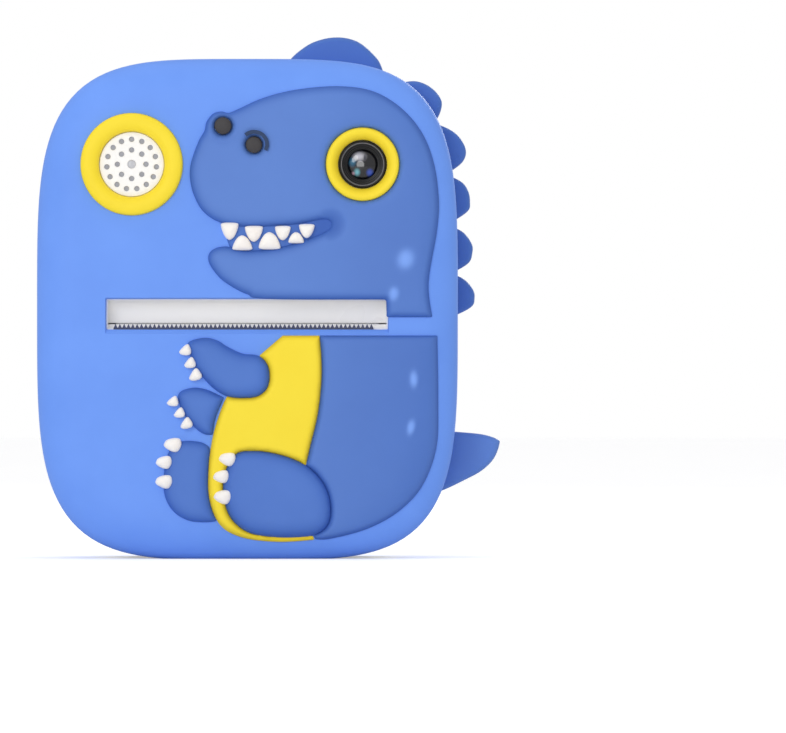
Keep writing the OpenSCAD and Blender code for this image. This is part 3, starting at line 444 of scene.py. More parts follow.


# Each row is a painted reflection on the lens: right, up, width, height and colour
front_glass = lens_glass("lens_glass_painted_reflections_blue", centre("front_lens_glass"), (
    (-2.2, 0.5, 1.0, 1.2, "#2E6A8E"), (-0.7, 1.7, 1.7, 1.2, "#C4C4D2"), (0.5, 1.4, 0.35, 1.0, "#3A3A48"),
    (-1.2, -1.7, 0.8, 1.0, "#6FB4C6"), (-2.0, -2.0, 0.45, 0.5, "#B08FA0"), (1.6, -1.8, 0.9, 1.0, "#2F50BE")))
rear_glass = lens_glass("lens_glass_painted_reflections_green", centre("rear_lens_glass"), (
    (-0.9, 0.6, 0.9, 0.7, "#565C40"), (0.8, -0.8, 0.8, 0.7, "#39421F"), (0.1, 1.4, 0.8, 0.4, "#8A8F7A")))
# Satin ABS ring round the lens: mid grey, a thin bright rim
grey_trim = moulded("satin_abs_graphite", "#75757B", "#6A6A70", 0.35, 0.3, 0.08)
# Painted shade at the bottom of the speaker holes: a grey disc behind them
grille_shade = moulded("painted_hole_shade_grey", "#A9AAB0", "#9C9DA4", 0.5, 0.3, 0.1, mottle_mm=1.5)
# The middle hole is shallower, so its painted shade is lighter
grille_middle_shade = moulded("painted_hole_shade_light_grey", "#D2D3D7", "#B9BAC0", 0.5, 0.3, 0.1, mottle_mm=0.5)
# Matt white studio floor that shows soft contact shadows
floor_paint = moulded("matt_studio_paint_white", "#F4F4F5", "#F1F1F3", 0.7, 4.0, 0.02, mottle_mm=300,
                      Emission_Color=(1, 1, 1, 1))


# ---- Jacket ----
RING_N = 192


def body_ring(inset, y, floor=0.0):
    return [(x, y, max(z, floor)) for x, z in squircle(HALF_W - inset, HALF_H - inset, MID_Z, RING_N)]


def opening_ring(inset, y):
    """The jacket's rear opening, drawn in by inset."""
    half_h = (BODY_H - LIP_SIDE - LIP_BASE) / 2
    return [(x, y, z) for x, z in squircle(HALF_W - LIP_SIDE - inset, half_h - inset, LIP_BASE + half_h,
                                           RING_N)]


def jacket_rings():
    rings = []
    for k in range(13):
        f = math.pi / 2 * k / 12
        rings.append(body_ring(EDGE_IN * (1 - math.sin(f)), FRONT_Y + EDGE_DEEP * (1 - math.cos(f))))
    rings.append(body_ring(0, 0))
    for k in range(9):
        f = math.pi / 2 * (1 - k / 8)
        rings.append(body_ring(REAR_ROUND * (1 - math.sin(f)), BACK_Y - REAR_ROUND * (1 - math.cos(f))))
    rings += [opening_ring(inset, BACK_Y - drop) for inset, drop in
              ((-0.7, 0.04), (-0.3, 0.2), (-0.05, 0.55), (0, 0.95), (0, JACKET_T))]
    for k in range(5):
        f = math.pi / 2 * k / 4
        inset = JACKET_T + (REAR_ROUND - JACKET_T) * (1 - math.sin(f))
        rings.append(body_ring(inset, BACK_Y - JACKET_T - (REAR_ROUND - JACKET_T) * (1 - math.cos(f)),
                               JACKET_T))
    for k in range(5):
        f = math.pi / 2 * (1 - k / 4)
        inset = JACKET_T + (EDGE_IN - JACKET_T) * (1 - math.sin(f))
        rings.append(body_ring(inset, FRONT_Y + JACKET_T + (EDGE_DEEP - JACKET_T) * (1 - math.cos(f)),
                               JACKET_T))
    return rings


def cutter(rings):
    bm = bmesh.new()
    loft(bm, rings)
    return mesh_object("cutter_shape", bm)


def box_outline(x0, x1, z0, z1):
    return rounded_rect(x1 - x0, z1 - z0, 0.3, ((x0 + x1) / 2, (z0 + z1) / 2), 4)


speaker_at, eye_at = centre("speaker_ring"), centre("eye_ring")
SPEAKER_R, EYE_R = ((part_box(n)[1].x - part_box(n)[0].x) / 2 / MM for n in ("speaker_ring", "eye_ring"))

bm = bmesh.new()
loft(bm, jacket_rings())
jacket = mesh_object("silicone_jacket", bm)
slot_shape = box_outline(-SLOT_HALF_W - 0.3, SLOT_HALF_W + 0.3, SLOT_Z0 - 0.3, SLOT_Z1 + 0.3)
slot_flare = slot_shape.copy()
slot_flare[:, 1] = np.where(slot_flare[:, 1] < (SLOT_Z0 + SLOT_Z1) / 2, slot_flare[:, 1] - 1.0,
                            slot_flare[:, 1] + 0.3)
slot_flare[:, 0] *= 1.008
port_shape = [(y, z) for y, z in rounded_rect(7.2, 29.7, 3.6, (11.9, 62.75), 8)]
door_low, door_high = (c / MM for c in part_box("paper_door"))
carve(jacket, [
    cutter([at_y(slot_shape, FRONT_Y + 5), at_y(slot_shape, FRONT_Y + 0.9), at_y(slot_flare, FRONT_Y - 0.02),
            at_y(slot_flare, FRONT_Y - 1)]),
    *(cutter([at_y(round_outline(at.x, at.z, radius + 0.03, 96), FRONT_Y + d) for d in (5, -1)])
      for at, radius in ((speaker_at, SPEAKER_R), (eye_at, EYE_R))),
    cutter([[(x, p[0], p[1]) for p in port_shape] for x in (-HALF_W - 1, -HALF_W + 6)]),
    cutter([at_y(box_outline(door_low.x - 2.5, door_high.x + 2.5, -1, 7), y) for y in (-15.6, 16.4)]),
])
place(jacket, "shell", jacket_silicone, "jacket_silicone", ["jacket"], 40)

# ---- Dinosaur in relief: outlines in x and z; a point given twice is a corner ----
HEAD = [[4.5, 56.3], [30.1, 56.2], [30.1, 56.2], [30.2, 52.4], [30.2, 52.4], [40.1, 52.4], [40.1, 52.4],
        [39.3, 60], [41.2, 71.5], [41.5, 78.5], [40.3, 86.4], [37.6, 92.8], [33, 98], [27, 101.4],
        [19.5, 102.4], [10.4, 101.6], [3.4, 99.8], [-2.4, 97.2], [-4.1, 96.6], [-5.5, 96.9], [-7.4, 96.4],
        [-8.8, 94.6], [-9.2, 92.8], [-10.6, 90.2], [-12.3, 85], [-11.9, 80], [-9.6, 75.4], [-5.6, 72.8],
        [-0.4, 72], [5, 72.1], [11.2, 72.6], [16.2, 73.6], [18.2, 73], [17.4, 71.1], [12, 68.9],
        [7.5, 67.6], [3.7, 67], [-0.4, 66.8], [-4.8, 67.7], [-7.8, 66.7], [-8.3, 64.4], [-6.2, 61.2],
        [-3.3, 59], [0, 57.4]]
BODY = [[15.7, 48.4], [15.7, 48.4], [41.2, 48.4], [41.2, 48.4], [41.4, 34], [41, 24], [37.8, 15.6],
        [32.4, 10], [25.6, 6.4], [18, 4.4], [14.7, 4.3], [14.7, 4.3], [12, 18], [12, 18], [15, 31.2],
        [16.1, 38.3], [16.1, 43.7]]
BELLY = [[7.7, 48.4], [7.7, 48.4], [15.7, 48.4], [15.7, 48.4], [16.1, 43.7], [16.1, 38.3], [15.3, 31.2],
         [13.6, 24], [12.2, 17], [12.2, 9], [14.7, 4.2], [14.7, 4.2], [7.9, 3.7], [1.7, 4.1], [-2.4, 5.1],
         [-5.3, 6.8], [-7.2, 9.7], [-8.3, 13.8], [-8.4, 18.8], [-7.8, 24.6], [-6.6, 29.6], [-4.5, 35],
         [-0.5, 41], [2.6, 44]]
NEAR_ARM = [[-12.8, 46.8], [-9.5, 47.9], [-6.6, 47.4], [-4.1, 45.9], [-1, 44.5], [2.5, 44], [4.6, 41.6],
            [4.6, 37.6], [2.6, 35.4], [-0.5, 34.9], [-4.1, 35.2], [-6.8, 36.6], [-9.2, 38.9], [-11.3, 41.6],
            [-12.3, 44.2]]
FAR_ARM = [[-14.9, 35.6], [-12.4, 37], [-9.1, 36.8], [-5, 35], [-5, 35], [-6.8, 30.6], [-7.5, 26.9],
           [-7.5, 26.9], [-9.6, 27.2], [-12, 29.2], [-14, 32]]
FAR_LEG = [[-14.3, 25.4], [-11.2, 25.5], [-8.9, 24.8], [-8, 23], [-8.3, 15.5], [-6.6, 8.2], [-6.6, 8.2],
           [-9.5, 8], [-12.8, 8.4], [-15.7, 10.1], [-17.5, 12.8], [-18.1, 16], [-17.8, 20], [-16.8, 23.4]]
NEAR_LEG = [[-2.4, 22.7], [1.7, 23.4], [6.6, 22.7], [11.2, 21.1], [14.6, 18.8], [17.1, 15.4], [18.1, 11.4],
            [17.6, 7.6], [14.9, 5.3], [10, 4.7], [4.5, 4.9], [-0.2, 6], [-3.7, 9.2], [-5.1, 14],
            [-4.8, 18.6]]
head, body, belly, near_arm, far_arm, far_leg, near_leg = (
    smooth_outline(p) for p in (HEAD, BODY, BELLY, NEAR_ARM, FAR_ARM, FAR_LEG, NEAR_LEG))


def nearest(points, outlines):
    """Distance and nearest place on any of the outlines."""
    best = np.full(len(points), np.inf)
    spot = points.copy()
    for outline in outlines:
        start, along = outline, np.roll(outline, -1, axis=0) - outline
        size = np.maximum((along ** 2).sum(1), 1e-12)
        for k in range(0, len(points), 3000):
            p = points[k:k + 3000, None, :]
            t = np.clip(((p - start) * along).sum(2) / size, 0, 1)
            at = start + t[..., None] * along
            dist = np.sqrt(((at - p) ** 2).sum(2))
            pick = dist.argmin(1)
            rows = np.arange(len(pick))
            closer = dist[rows, pick] < best[k:k + 3000]
            best[k:k + 3000] = np.where(closer, dist[rows, pick], best[k:k + 3000])
            spot[k:k + 3000] = np.where(closer[:, None], at[rows, pick], spot[k:k + 3000])
    return best, spot


def relief(name, outline, height, width, material, slot_name, nodes, cuts=(), holes=(), swell=None,
           voxel=0.34, rim=0.3, dark=None, light=None):
    """A soft raised shape that follows the front of the jacket, rounded over width from its edge. Painted
    shade darkens it along its outline and its cuts, but not round its holes; dark adds more painted shade,
    and light gives raised spots with a painted highlight."""
    bm = bmesh.new()
    loft(bm, [at_y(outline, 1), at_y(outline, -1)])
    bmesh.ops.triangulate(bm, faces=[f for f in bm.faces if len(f.verts) > 4])
    obj = mesh_object(name, bm)
    if cuts or holes:
        carve(obj, [cutter([at_y(c, 3), at_y(c, -3)]) for c in (*cuts, *holes)])
    mod = obj.modifiers.new("even_mesh", "REMESH")
    mod.mode = "VOXEL"
    mod.voxel_size = voxel * MM
    bake(obj)
    mesh = obj.data
    co = np.empty(len(mesh.vertices) * 3)
    mesh.vertices.foreach_get("co", co)
    co = co.reshape(-1, 3) / MM
    dist, spot = nearest(co[:, [0, 2]], [outline, *cuts, *holes])
    rim_dist = nearest(co[:, [0, 2]], [outline, *cuts])[0]
    rimmed = dist < voxel * 0.75
    co[rimmed, 0], co[rimmed, 2] = spot[rimmed, 0], spot[rimmed, 1]
    dist[rimmed] = 0
    out = np.clip((1 - co[:, 1]) / 2, 0, 1)
    x, z = co[:, 0], co[:, 2]
    rise = np.minimum(dist / width, 1)
    high = height * (rim + (1 - rim) * np.sqrt(1 - (1 - rise) ** 2))
    if swell:
        high = high + swell(x, z) * rise
    if light:
        high = high + 0.3 * light(x, z)
    co[:, 1] = FRONT_Y + front_drop(x, z) + 0.8 * (1 - out) - high * out
    mesh.vertices.foreach_set("co", (co * MM).ravel())
    # Painted shade: the attribute rim is high along the outline and the cuts, and where dark asks for more
    painted_shade_attr = mesh.attributes.new("rim", "FLOAT", "POINT")
    edge = np.exp(-(rim_dist / (0.45 * width)) ** 1.5)
    if dark:
        edge = np.maximum(edge, dark(x, z))
    painted_shade_attr.data.foreach_set("value", edge)
    # Painted highlight on the raised spots, where the attribute spot is high
    if light:
        mesh.attributes.new("spot", "FLOAT", "POINT").data.foreach_set("value", light(x, z))
    bm = bmesh.new()
    bm.from_mesh(mesh)
    inner = [v for v, o, d in zip(bm.verts, out, dist) if o > 0.9 and d > 0.2]
    for _ in range(4):
        bmesh.ops.smooth_vert(bm, verts=inner, factor=0.5, use_axis_y=True)
    bm.to_mesh(mesh)
    bm.free()
    return place(obj, "shell", material, slot_name, nodes, 60)


def mound(x, z, cx, cz, r, power=1.3):
    return np.clip(1 - ((x - cx) ** 2 + (z - cz) ** 2) / r ** 2, 0, 1) ** power


def head_swell(x, z):
    """The two nostril mounds and the dent at the corner of the mouth."""
    return (0.7 * mound(x, z, -5.4, 93.5, 3.9, 0.7) + 0.4 * mound(x, z, 1.5, 89.7, 3.6)
            - 1.0 * mound(x, z, 18.4, 72.6, 3.6))


def mouth_painted_shade(x, z):
    """Painted shade in the corner of the mouth, and a little round the first nostril."""
    return 1.0 * mound(x, z, 18.0, 72.4, 4.0, 1.0) + 0.25 * mound(x, z, -5.4, 93.5, 3.9, 0.5)


def painted_shade_to_right(x, low, high):
    """Painted shade that deepens from the snout towards the back."""
    return low + (high - low) * np.clip((x - 6) / 30, 0, 1)


def spot_bumps_and_highlights(x, z):
    """Soft raised ovals on the cheek and the back; the same values paint a highlight on them."""
    out = np.zeros_like(x)
    for mid_x, mid_z, a, b, turn in SPOTS:
        c, s = math.cos(math.radians(turn)), math.sin(math.radians(turn))
        u, v = (x - mid_x) * c + (z - mid_z) * s, (z - mid_z) * c - (x - mid_x) * s
        out = np.maximum(out, np.exp(-np.hypot(u / a, v / b) ** 3))
    return out


SPOTS = [(34.4, 64.9, 1.75, 2.1, -20), (31.8, 57.4, 1.05, 1.45, -8), (36.1, 38.9, 0.85, 1.75, 0),
         (35.5, 28.5, 0.8, 1.6, -12)]
NOSTRILS = [(-5.2, 93.8, 1.9), (1.5, 89.7, 1.85)]
eye_hole = round_outline(eye_at.x, eye_at.z, EYE_R + 0.05, 96)
# Head and body: painted shade in the mouth corner and towards the back, raised spots with a painted highlight
relief("dinosaur_head", head, 1.3, 2.6, dino_silicone, "dino_silicone", ["dino_head"],
       holes=[eye_hole, *(round_outline(x, z, r, 40) for x, z, r in NOSTRILS)], swell=head_swell, rim=0.35,
       dark=lambda x, z: np.maximum(mouth_painted_shade(x, z), painted_shade_to_right(x, 0, 0.32)), light=spot_bumps_and_highlights)
relief("dinosaur_body", body, 1.3, 2.0, dino_silicone, "dino_silicone", ["dino_body"], [belly, near_leg],
       dark=lambda x, z: painted_shade_to_right(x, 0.1, 0.48), light=spot_bumps_and_highlights)
relief("dinosaur_belly", belly, 1.3, 1.2, yellow_silicone, "yellow_silicone", ["belly"], [near_arm, near_leg])
relief("dinosaur_near_arm", near_arm, 1.8, 3.2, limb_silicone, "dino_silicone", ["near_arm"])
relief("dinosaur_far_arm", far_arm, 1.2, 2.8, limb_silicone, "dino_silicone", ["far_arm"], [near_arm])
relief("dinosaur_near_leg", near_leg, 1.8, 3.4, limb_silicone, "dino_silicone", ["near_leg"])
relief("dinosaur_far_leg", far_leg, 1.2, 3.0, limb_silicone, "dino_silicone", ["far_leg"], [belly])
MOUTH = smooth_outline([[-5.2, 73.2], [0, 72.6], [5, 72.7], [11.2, 73.2], [16.2, 74.2], [19.4, 73.4],
                        [18.4, 70.4], [12, 68.2], [7.5, 67], [3.7, 66.4], [-0.4, 66.2], [-3.2, 66.8],
                        [-4.6, 70]])
# Painted shade that deepens towards the corner of the mouth
relief("mouth_lining", MOUTH, 0.3, 1.0, limb_silicone, "dino_silicone", (), voxel=0.4,
       dark=lambda x, z: np.clip((x - 6) / 10, 0, 1))


def on_front(outline, height):
    """Ring that follows the jacket's front, height above it."""
    drop = front_drop(outline[:, 0], outline[:, 1])
    return [(p[0], FRONT_Y + d - height, p[1]) for p, d in zip(outline, drop)]


def pebble(bm, outline, low, high, crown=2.2):
    """A soft dome on the front: straight sides up to low, then rounded up to high."""
    mid = outline.mean(axis=0)
    rings = [on_front(outline, -0.8)]
    for k in range(DOME_STEPS + 1):
        t = math.sin(math.pi / 2 * k / DOME_STEPS)
        size = max((1 - t ** crown) ** (1 / crown), 0.12)
        rings.append(on_front(mid + (outline - mid) * size, low + (high - low) * t))
    loft(bm, rings)


def moved(points, x, z, size=1.0, turn=0.0):
    """Local outline points set at x and z, scaled and turned by degrees."""
    c, s = math.cos(math.radians(turn)), math.sin(math.radians(turn))
    p = np.array(points, float) * size
    return np.column_stack([x + p[:, 0] * c - p[:, 1] * s, z + p[:, 0] * s + p[:, 1] * c])


UPPER_TEETH = [(-5.6, -1.9, 72.8, 69.1), (-0.4, 3.4, 72.1, 68.7), (6.1, 9.4, 72.1, 69),
               (11.3, 14.6, 72.5, 69.5)]
LOWER_TEETH = [(-3.1, 1.1, 66.9, 70.1), (2.6, 7.2, 67.1, 70.8), (9, 12.3, 68.4, 70.8)]
TOOTH = [[0.03, 0.03], [0.0, 0.25], [0.08, 0.52], [0.2, 0.77], [0.33, 0.93], [0.48, 1.0], [0.63, 0.94],
         [0.79, 0.77], [0.91, 0.52], [0.99, 0.25], [0.97, 0.03], [0.5, -0.02]]
bm = bmesh.new()
for x0, x1, root, tip in UPPER_TEETH + LOWER_TEETH:
    pebble(bm, smooth_outline([[x0 + (x1 - x0) * u, root + (tip - root) * v] for u, v in TOOTH], 4), 0.9, 2.2)
shell_piece("teeth_moulded", bm, cream_silicone, "cream_silicone", ["teeth"], 50)

FINGER_CLAW = [[0.4, 1.25], [-0.25, 0.85], [-1.1, -0.05], [-1.3, -0.6], [-0.75, -1.1], [0.4, -1.2],
               [1.2, -0.9], [1.35, -0.2], [1.1, 0.6], [0.8, 1.15]]
TOE_CLAW = [[-1.85, 0.2], [-1.3, 1.05], [0.2, 1.5], [1.45, 1.35], [1.85, 0.4], [1.6, -0.7], [0.9, -1.45],
            [-0.1, -1.4], [-1.3, -0.75], [-1.8, -0.25]]
ARM_CLAWS = [(-13.4, 45.3, 0.98, 0), (-12.4, 42.5, 0.95, 6), (-11.3, 39.9, 1.06, 14),
             (-16.1, 34.2, 0.93, -4), (-14.7, 31.7, 0.9, 4), (-13.2, 29.4, 1.0, 12)]
LEG_CLAWS = [(-16.1, 24.7, 1.02, 0), (-18, 20.9, 0.93, 4), (-18, 16.7, 0.98, 2), (-4.3, 21.6, 0.98, -2),
             (-5.6, 17.8, 0.93, 6), (-5.3, 13.4, 1.03, 0)]
bm = bmesh.new()
for claw, places, low in ((FINGER_CLAW, ARM_CLAWS, 1.1), (TOE_CLAW, LEG_CLAWS, 1.0)):
    for spot in places:
        pebble(bm, smooth_outline(moved(claw, *spot), 4), low, 2.3)
shell_piece("claws_moulded", bm, cream_silicone, "cream_silicone", ["claws"], 50)

bm = bmesh.new()
for x, z, r in NOSTRILS:
    pebble(bm, round_outline(x, z, r - 0.06, 48), 1.35, 1.85, 2.6)
shell_piece("nostril_discs", bm, dark_silicone, "dark_silicone", ["nostrils"], 40)

# A dark raised ribbon that paints the shadow of the fold beside a nostril
bm = bmesh.new()
ribbon(bm, [(1.55 + 2.8 * math.cos(math.radians(a)), 89.8 + 2.7 * math.sin(math.radians(a)))
            for a in range(132, -32, -8)], 0.8, FRONT_Y - 1.0, FRONT_Y - 1.95)
shell_piece("nostril_fold_painted_shadow", bm, painted_fold_shadow, "dark_silicone", (), 40)

# ---- Back spikes, crest and tail ----
SPIKES = [[[28.5, 99.5], [31, 102.2], [33.2, 103.5], [36.8, 103.9], [40.1, 102.4], [42.2, 99.6],
           [41.6, 96.5], [39.5, 94], [36, 92]],
          [[37, 93], [40, 94.6], [43.4, 93.7], [46, 91.8], [47.5, 88.9], [46.7, 86.3], [43, 83.8],
           [39, 83]],
          [[40, 84], [43, 83.6], [46.5, 82], [48, 80], [48.4, 77.6], [47.9, 75.6], [44, 73.2], [40, 72.5]],
          [[41, 73], [44, 72.4], [47, 70.9], [48.8, 68.4], [48.9, 66.4], [48, 64.2], [44, 62], [41, 61.5]],
          [[41, 62.5], [44, 62], [47, 60.8], [49, 58.6], [49.4, 56.6], [48.6, 54.6], [44, 52.4], [41, 52]]]
CREST = [[8, 104], [8.2, 106.2], [9.4, 108.9], [13, 111.8], [16.3, 113.1], [19.3, 113.5], [22, 113.2],
         [24.5, 112.2], [27, 110.1], [28.9, 107.6], [30, 103], [28, 101.5], [12, 102.5]]
TAIL = [[40, 27.2], [42, 27.6], [47, 27.3], [51.5, 26.8], [54.4, 25.8], [54.85, 24.8], [53.6, 21.6],
        [51, 19], [47.4, 17], [42, 14.5], [39.5, 14.5]]


def fin(bm, points, half, edge):
    """A thick fin with both rims rounded."""
    outline = smooth_outline(points, 5)
    mid = outline.mean(axis=0)
    reach = np.linalg.norm(outline - mid, axis=1).mean()
    rings = []
    for way in (-1, 1):
        for k in range(7):
            f = math.pi / 2 * (k if way < 0 else 6 - k) / 6
            size = 1 - edge / reach * (1 - math.sin(f))
            rings.append(at_y(mid + (outline - mid) * size, way * (half - edge * (1 - math.cos(f)))))
    loft(bm, rings)


spike_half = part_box("back_spikes")[1].y / MM
bm = bmesh.new()
for spike in SPIKES:
    fin(bm, spike, spike_half, 1.3)
fin(bm, CREST, spike_half, 1.6)
shell_piece("spikes_and_crest", bm, spike_silicone, "dino_silicone", ["back_spikes"], 50)
bm = bmesh.new()
fin(bm, TAIL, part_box("tail")[1].y / MM, 1.5)
shell_piece("tail_moulded", bm, dino_silicone, "dino_silicone", ["tail"], 50)

# ---- Speaker and lenses on the front ----
CASE_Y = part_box("speaker_ring")[1].y / MM


def turned_piece(name, profile, mid, material, slot_name, nodes, back=False, angle=40):
    bm = bmesh.new()
    lathe(bm, profile, mid, back=back)
    return shell_piece(name, bm, material, slot_name, nodes, angle)


turned_piece("speaker_ring_moulded",
             [(7.08, 0), (11.1, 0), (11.1, 2.2), (11.0, 2.75), (10.7, 3.1), (10.2, 3.32), (9.5, 3.4),
              (8.7, 3.38), (8.0, 3.2), (7.5, 2.85), (7.2, 2.4), (7.08, 1.9)],
             (speaker_at.x, CASE_Y, speaker_at.z), yellow_silicone, "yellow_silicone", ["speaker_ring"])
turned_piece("eye_ring_moulded",
             [(5.3, 0), (7.95, 0), (7.95, 2.6), (7.85, 3.0), (7.6, 3.28), (7.2, 3.4), (6.75, 3.34),
              (6.3, 3.05), (5.9, 2.6), (5.55, 2.0), (5.3, 1.3)],
             (eye_at.x, CASE_Y, eye_at.z), yellow_silicone, "yellow_silicone", ["eye_ring"])
barrel_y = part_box("front_lens_barrel")[1].y / MM
turned_piece("front_lens_tube",
             [(3.2, 0), (5.2, 0), (5.2, 6.0), (5.1, 6.3), (4.85, 6.4), (4.6, 6.35), (4.45, 6.1), (4.4, 5.75),
              (4.05, 5.65), (4.0, 5.3), (3.7, 5.2), (3.65, 4.85), (3.3, 4.75), (3.2, 4.4)],
             (eye_at.x, barrel_y, eye_at.z), black_abs, "black_plastic", ["front_lens_barrel"], angle=25)
turned_piece("front_lens_trim",
             [(4.45, 5.5), (4.7, 5.5), (4.7, 6.3), (4.66, 6.43), (4.56, 6.43), (4.45, 6.2)],
             (eye_at.x, barrel_y, eye_at.z), grey_trim, "black_plastic", ())


def lens_dome(name, radius, rim, rise, y, mid, material, node, back=False):
    """A lens with a domed face: rim is the height of its side and rise that of the dome."""
    dome = [(radius * math.cos(math.radians(a)), rim + rise * math.sin(math.radians(a)))
            for a in range(10, 90, 10)]
    turned_piece(name, [(0, 0), (radius, 0), (radius, rim), *dome, (0, rim + rise)], (mid.x, y, mid.z),
                 material, "lens_glass", [node], back)


lens_dome("front_lens_dome", 3.15, 0.62, 0.78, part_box("front_lens_glass")[1].y / MM, eye_at,
          front_glass, "front_lens_glass")

grille_low, grille_high = (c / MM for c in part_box("speaker_grille"))
bm = bmesh.new()
plate(bm, round_outline(speaker_at.x, speaker_at.z, 7.0, 96), grille_high.y, grille_low.y, 0.15)
grille = mesh_object("grille_moulded", bm)
HOLES = [(0, 0, 0.9)]
HOLES += [(*polar(r, 90 + 360 / count * k), 0.57) for r, count in ((3.1, 8), (5.4, 15)) for k in range(count)]
carve(grille, [cutter([at_y(round_outline(speaker_at.x + u, speaker_at.z + v, r + d, 24), grille_low.y + y)
                       for d, y in ((0, 1), (0, 0.12), (0.12, -0.02), (0.12, -0.5))]) for u, v, r in HOLES])
place(grille, "shell", white_abs, "white_abs", ["speaker_grille"], 30)
# Grey discs behind the grille that paint the shade at the bottom of its holes
for name, radius, count, back, front, material in (
        ("grille_hole_shade", 6.6, 64, 0.2, 0.4, grille_shade),
        ("grille_middle_hole_shade", 0.88, 32, 0.3, 0.25, grille_middle_shade)):
    bm = bmesh.new()
    disc = round_outline(speaker_at.x, speaker_at.z, radius, count)
    plate(bm, disc, grille_high.y - back, grille_low.y + front, 0.05, 1)
    shell_piece(name, bm, material, "white_abs", (), 30)

# ---- White case half with the screen and the keys ----
window_low, window_high = (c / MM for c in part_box("screen_window"))
window_at = (window_low + window_high) / 2
picture_at = centre("lcd_panel")
rear_eye = centre("rear_lens_barrel")
WINDOW_W, WINDOW_H = window_high.x - window_low.x, window_high.z - window_low.z
PANEL_FACE = window_high.y - 0.05
PAD = centre("key_back")
KEY_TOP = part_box("key_back")[1].y / MM - 0.05
KEY_GAP = 0.3
PAD_KEY = [(6.05, 0), (5.85, 1.8), (5.35, 3.7), (6.1, 5.1), (7.5, 5.8), (8.6, 5.1), (9.2, 3.4), (10.3, 1.8),
           (10.9, 0), (10.3, -1.8), (9.2, -3.4), (8.6, -5.1), (7.5, -5.8), (6.1, -5.1), (5.35, -3.7),
           (5.85, -1.8)]
KEYS = {}
for key, turn in (("left", 0), ("up", 90), ("right", 180), ("down", 270)):
    KEYS[key] = smooth_outline(moved(PAD_KEY, PAD.x, PAD.z, 1, turn), 5)
for key in ("back", "power", "menu", "flip", "shoot"):
    low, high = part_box("key_" + key)
    at = centre("key_" + key)
    KEYS[key] = round_outline(at.x, at.z, (high.x - low.x) / 2 / MM - 0.1, 72)


def case_ring(inset, y):
    return body_ring(inset, y, 2.1)


rings = [case_ring(6.4, 19.6), case_ring(4.6, 19.3), case_ring(3.9, 18.6), case_ring(3.9, 16.05),
         case_ring(2.1, 16.05), case_ring(2.1, 17.0)]
for k in range(1, 6):
    f = math.pi / 2 * (1 - k / 5)
    rings.append(case_ring(2.1 + 2.9 * (1 - math.sin(f)), 19.9 - 2.9 * (1 - math.cos(f))))
rings += [opening_ring(inset, y) for inset, y in (
    (0.15, 19.9), (0.15, 20.3), (0.3, 20.62), (0.7, 20.85), (1.5, 21.05), (2.6, 21.2), (4.0, 21.31),
    (6.0, 21.38), (8.5, PANEL_FACE))]
bm = bmesh.new()
loft(bm, rings)
rear_case = mesh_object("rear_case_moulded", bm)


def through(outline, y0=18.5, y1=23):
    return cutter([at_y(outline, y0), at_y(outline, y1)])


def merged(shapes):
    """One cutter from several that overlap."""
    return combine(shapes[0], shapes[1:], "UNION")


def groove(outlines, out, width, depth):
    """A thin groove round a group of outlines, out away from them."""
    outer = merged([through(grown(o, out), PANEL_FACE - depth) for o in outlines])
    return carve(outer, [merged([through(grown(o, out - width), 18, 24) for o in outlines])])


window_edge = rounded_rect(66.4, 46.5, 11, (window_at.x, window_at.z), 14)
picture_hole = rounded_rect(50.6, 35.2, 0.5, (picture_at.x, picture_at.z))
cuts = [through(window_edge, PANEL_FACE - 1.3), through(picture_hole)]
cuts += [through(grown(KEYS[k], KEY_GAP)) for k in KEYS]
menu_at, flip_at, shoot_at = centre("key_menu"), centre("key_flip"), centre("key_shoot")
cuts += [groove([KEYS["up"], KEYS["left"], KEYS["down"], KEYS["right"], round_outline(PAD.x, PAD.z, 7.2, 64)],
                1.0, 0.4, 0.45),
         groove([rounded_rect(7.7, centre("key_power").z - menu_at.z + 7.7, 3.84,
                              (0, (centre("key_power").z + menu_at.z) / 2), 14)], 1.0, 0.4, 0.45),
         groove([KEYS["flip"], KEYS["shoot"],
                 rounded_rect(flip_at.x - shoot_at.x, 2.4, 0.4, ((flip_at.x + shoot_at.x) / 2, flip_at.z))],
                1.0, 0.4, 0.45)]
for at, count, inner, outer, chamfer_y, rim_y, end_y in (
        (rear_eye, 72, 3.75, 4.7, PANEL_FACE - 0.9, PANEL_FACE + 0.1, PANEL_FACE + 1),
        (centre("microphone"), 32, 0.65, 0.9, PANEL_FACE - 0.25, PANEL_FACE + 0.05, 23)):
    cuts += [cutter([at_y(round_outline(at.x, at.z, r, count), y) for r, y in
                     ((inner, 18), (inner, chamfer_y), (outer, rim_y), (outer, end_y))])]
carve(rear_case, cuts)
place(rear_case, "shell", white_abs, "white_abs", ["rear_case"], 30)

# Soft raised surround of the screen window
surround = rounded_rect(WINDOW_W + 6.4, WINDOW_H + 6.4, 13.8, (window_at.x, window_at.z), 16)
bm = bmesh.new()
loft(bm, [at_y(surround, 20.9)]
     + [at_y(grown(surround, -2.6 * k / 8), PANEL_FACE - 0.1 + 0.5 * math.sin(math.pi / 2 * k / 8) ** 2)
        for k in range(9)])
shape = mesh_object("screen_surround", bm)
carve(shape, [cutter([at_y(window_edge, 19), at_y(window_edge, PANEL_FACE + 0.1),
                      at_y(grown(window_edge, 0.5), PANEL_FACE + 0.45), at_y(grown(window_edge, 0.5), 23)])])
place(shape, "shell", white_abs, "white_abs", (), 40)

bm = bmesh.new()
plate(bm, rounded_rect(WINDOW_W, WINDOW_H, 10.9, (window_at.x, window_at.z), 16),
      window_low.y, window_high.y, 0.25)
shell_piece("screen_window_plate", bm, window_acrylic, "window_acrylic", ["screen_window"], 40)

# A plain landscape on the screen, in thin layers behind the gloss
PICTURE_W, PICTURE_H = 48.6, 33.2
px, pz = picture_at.x, picture_at.z


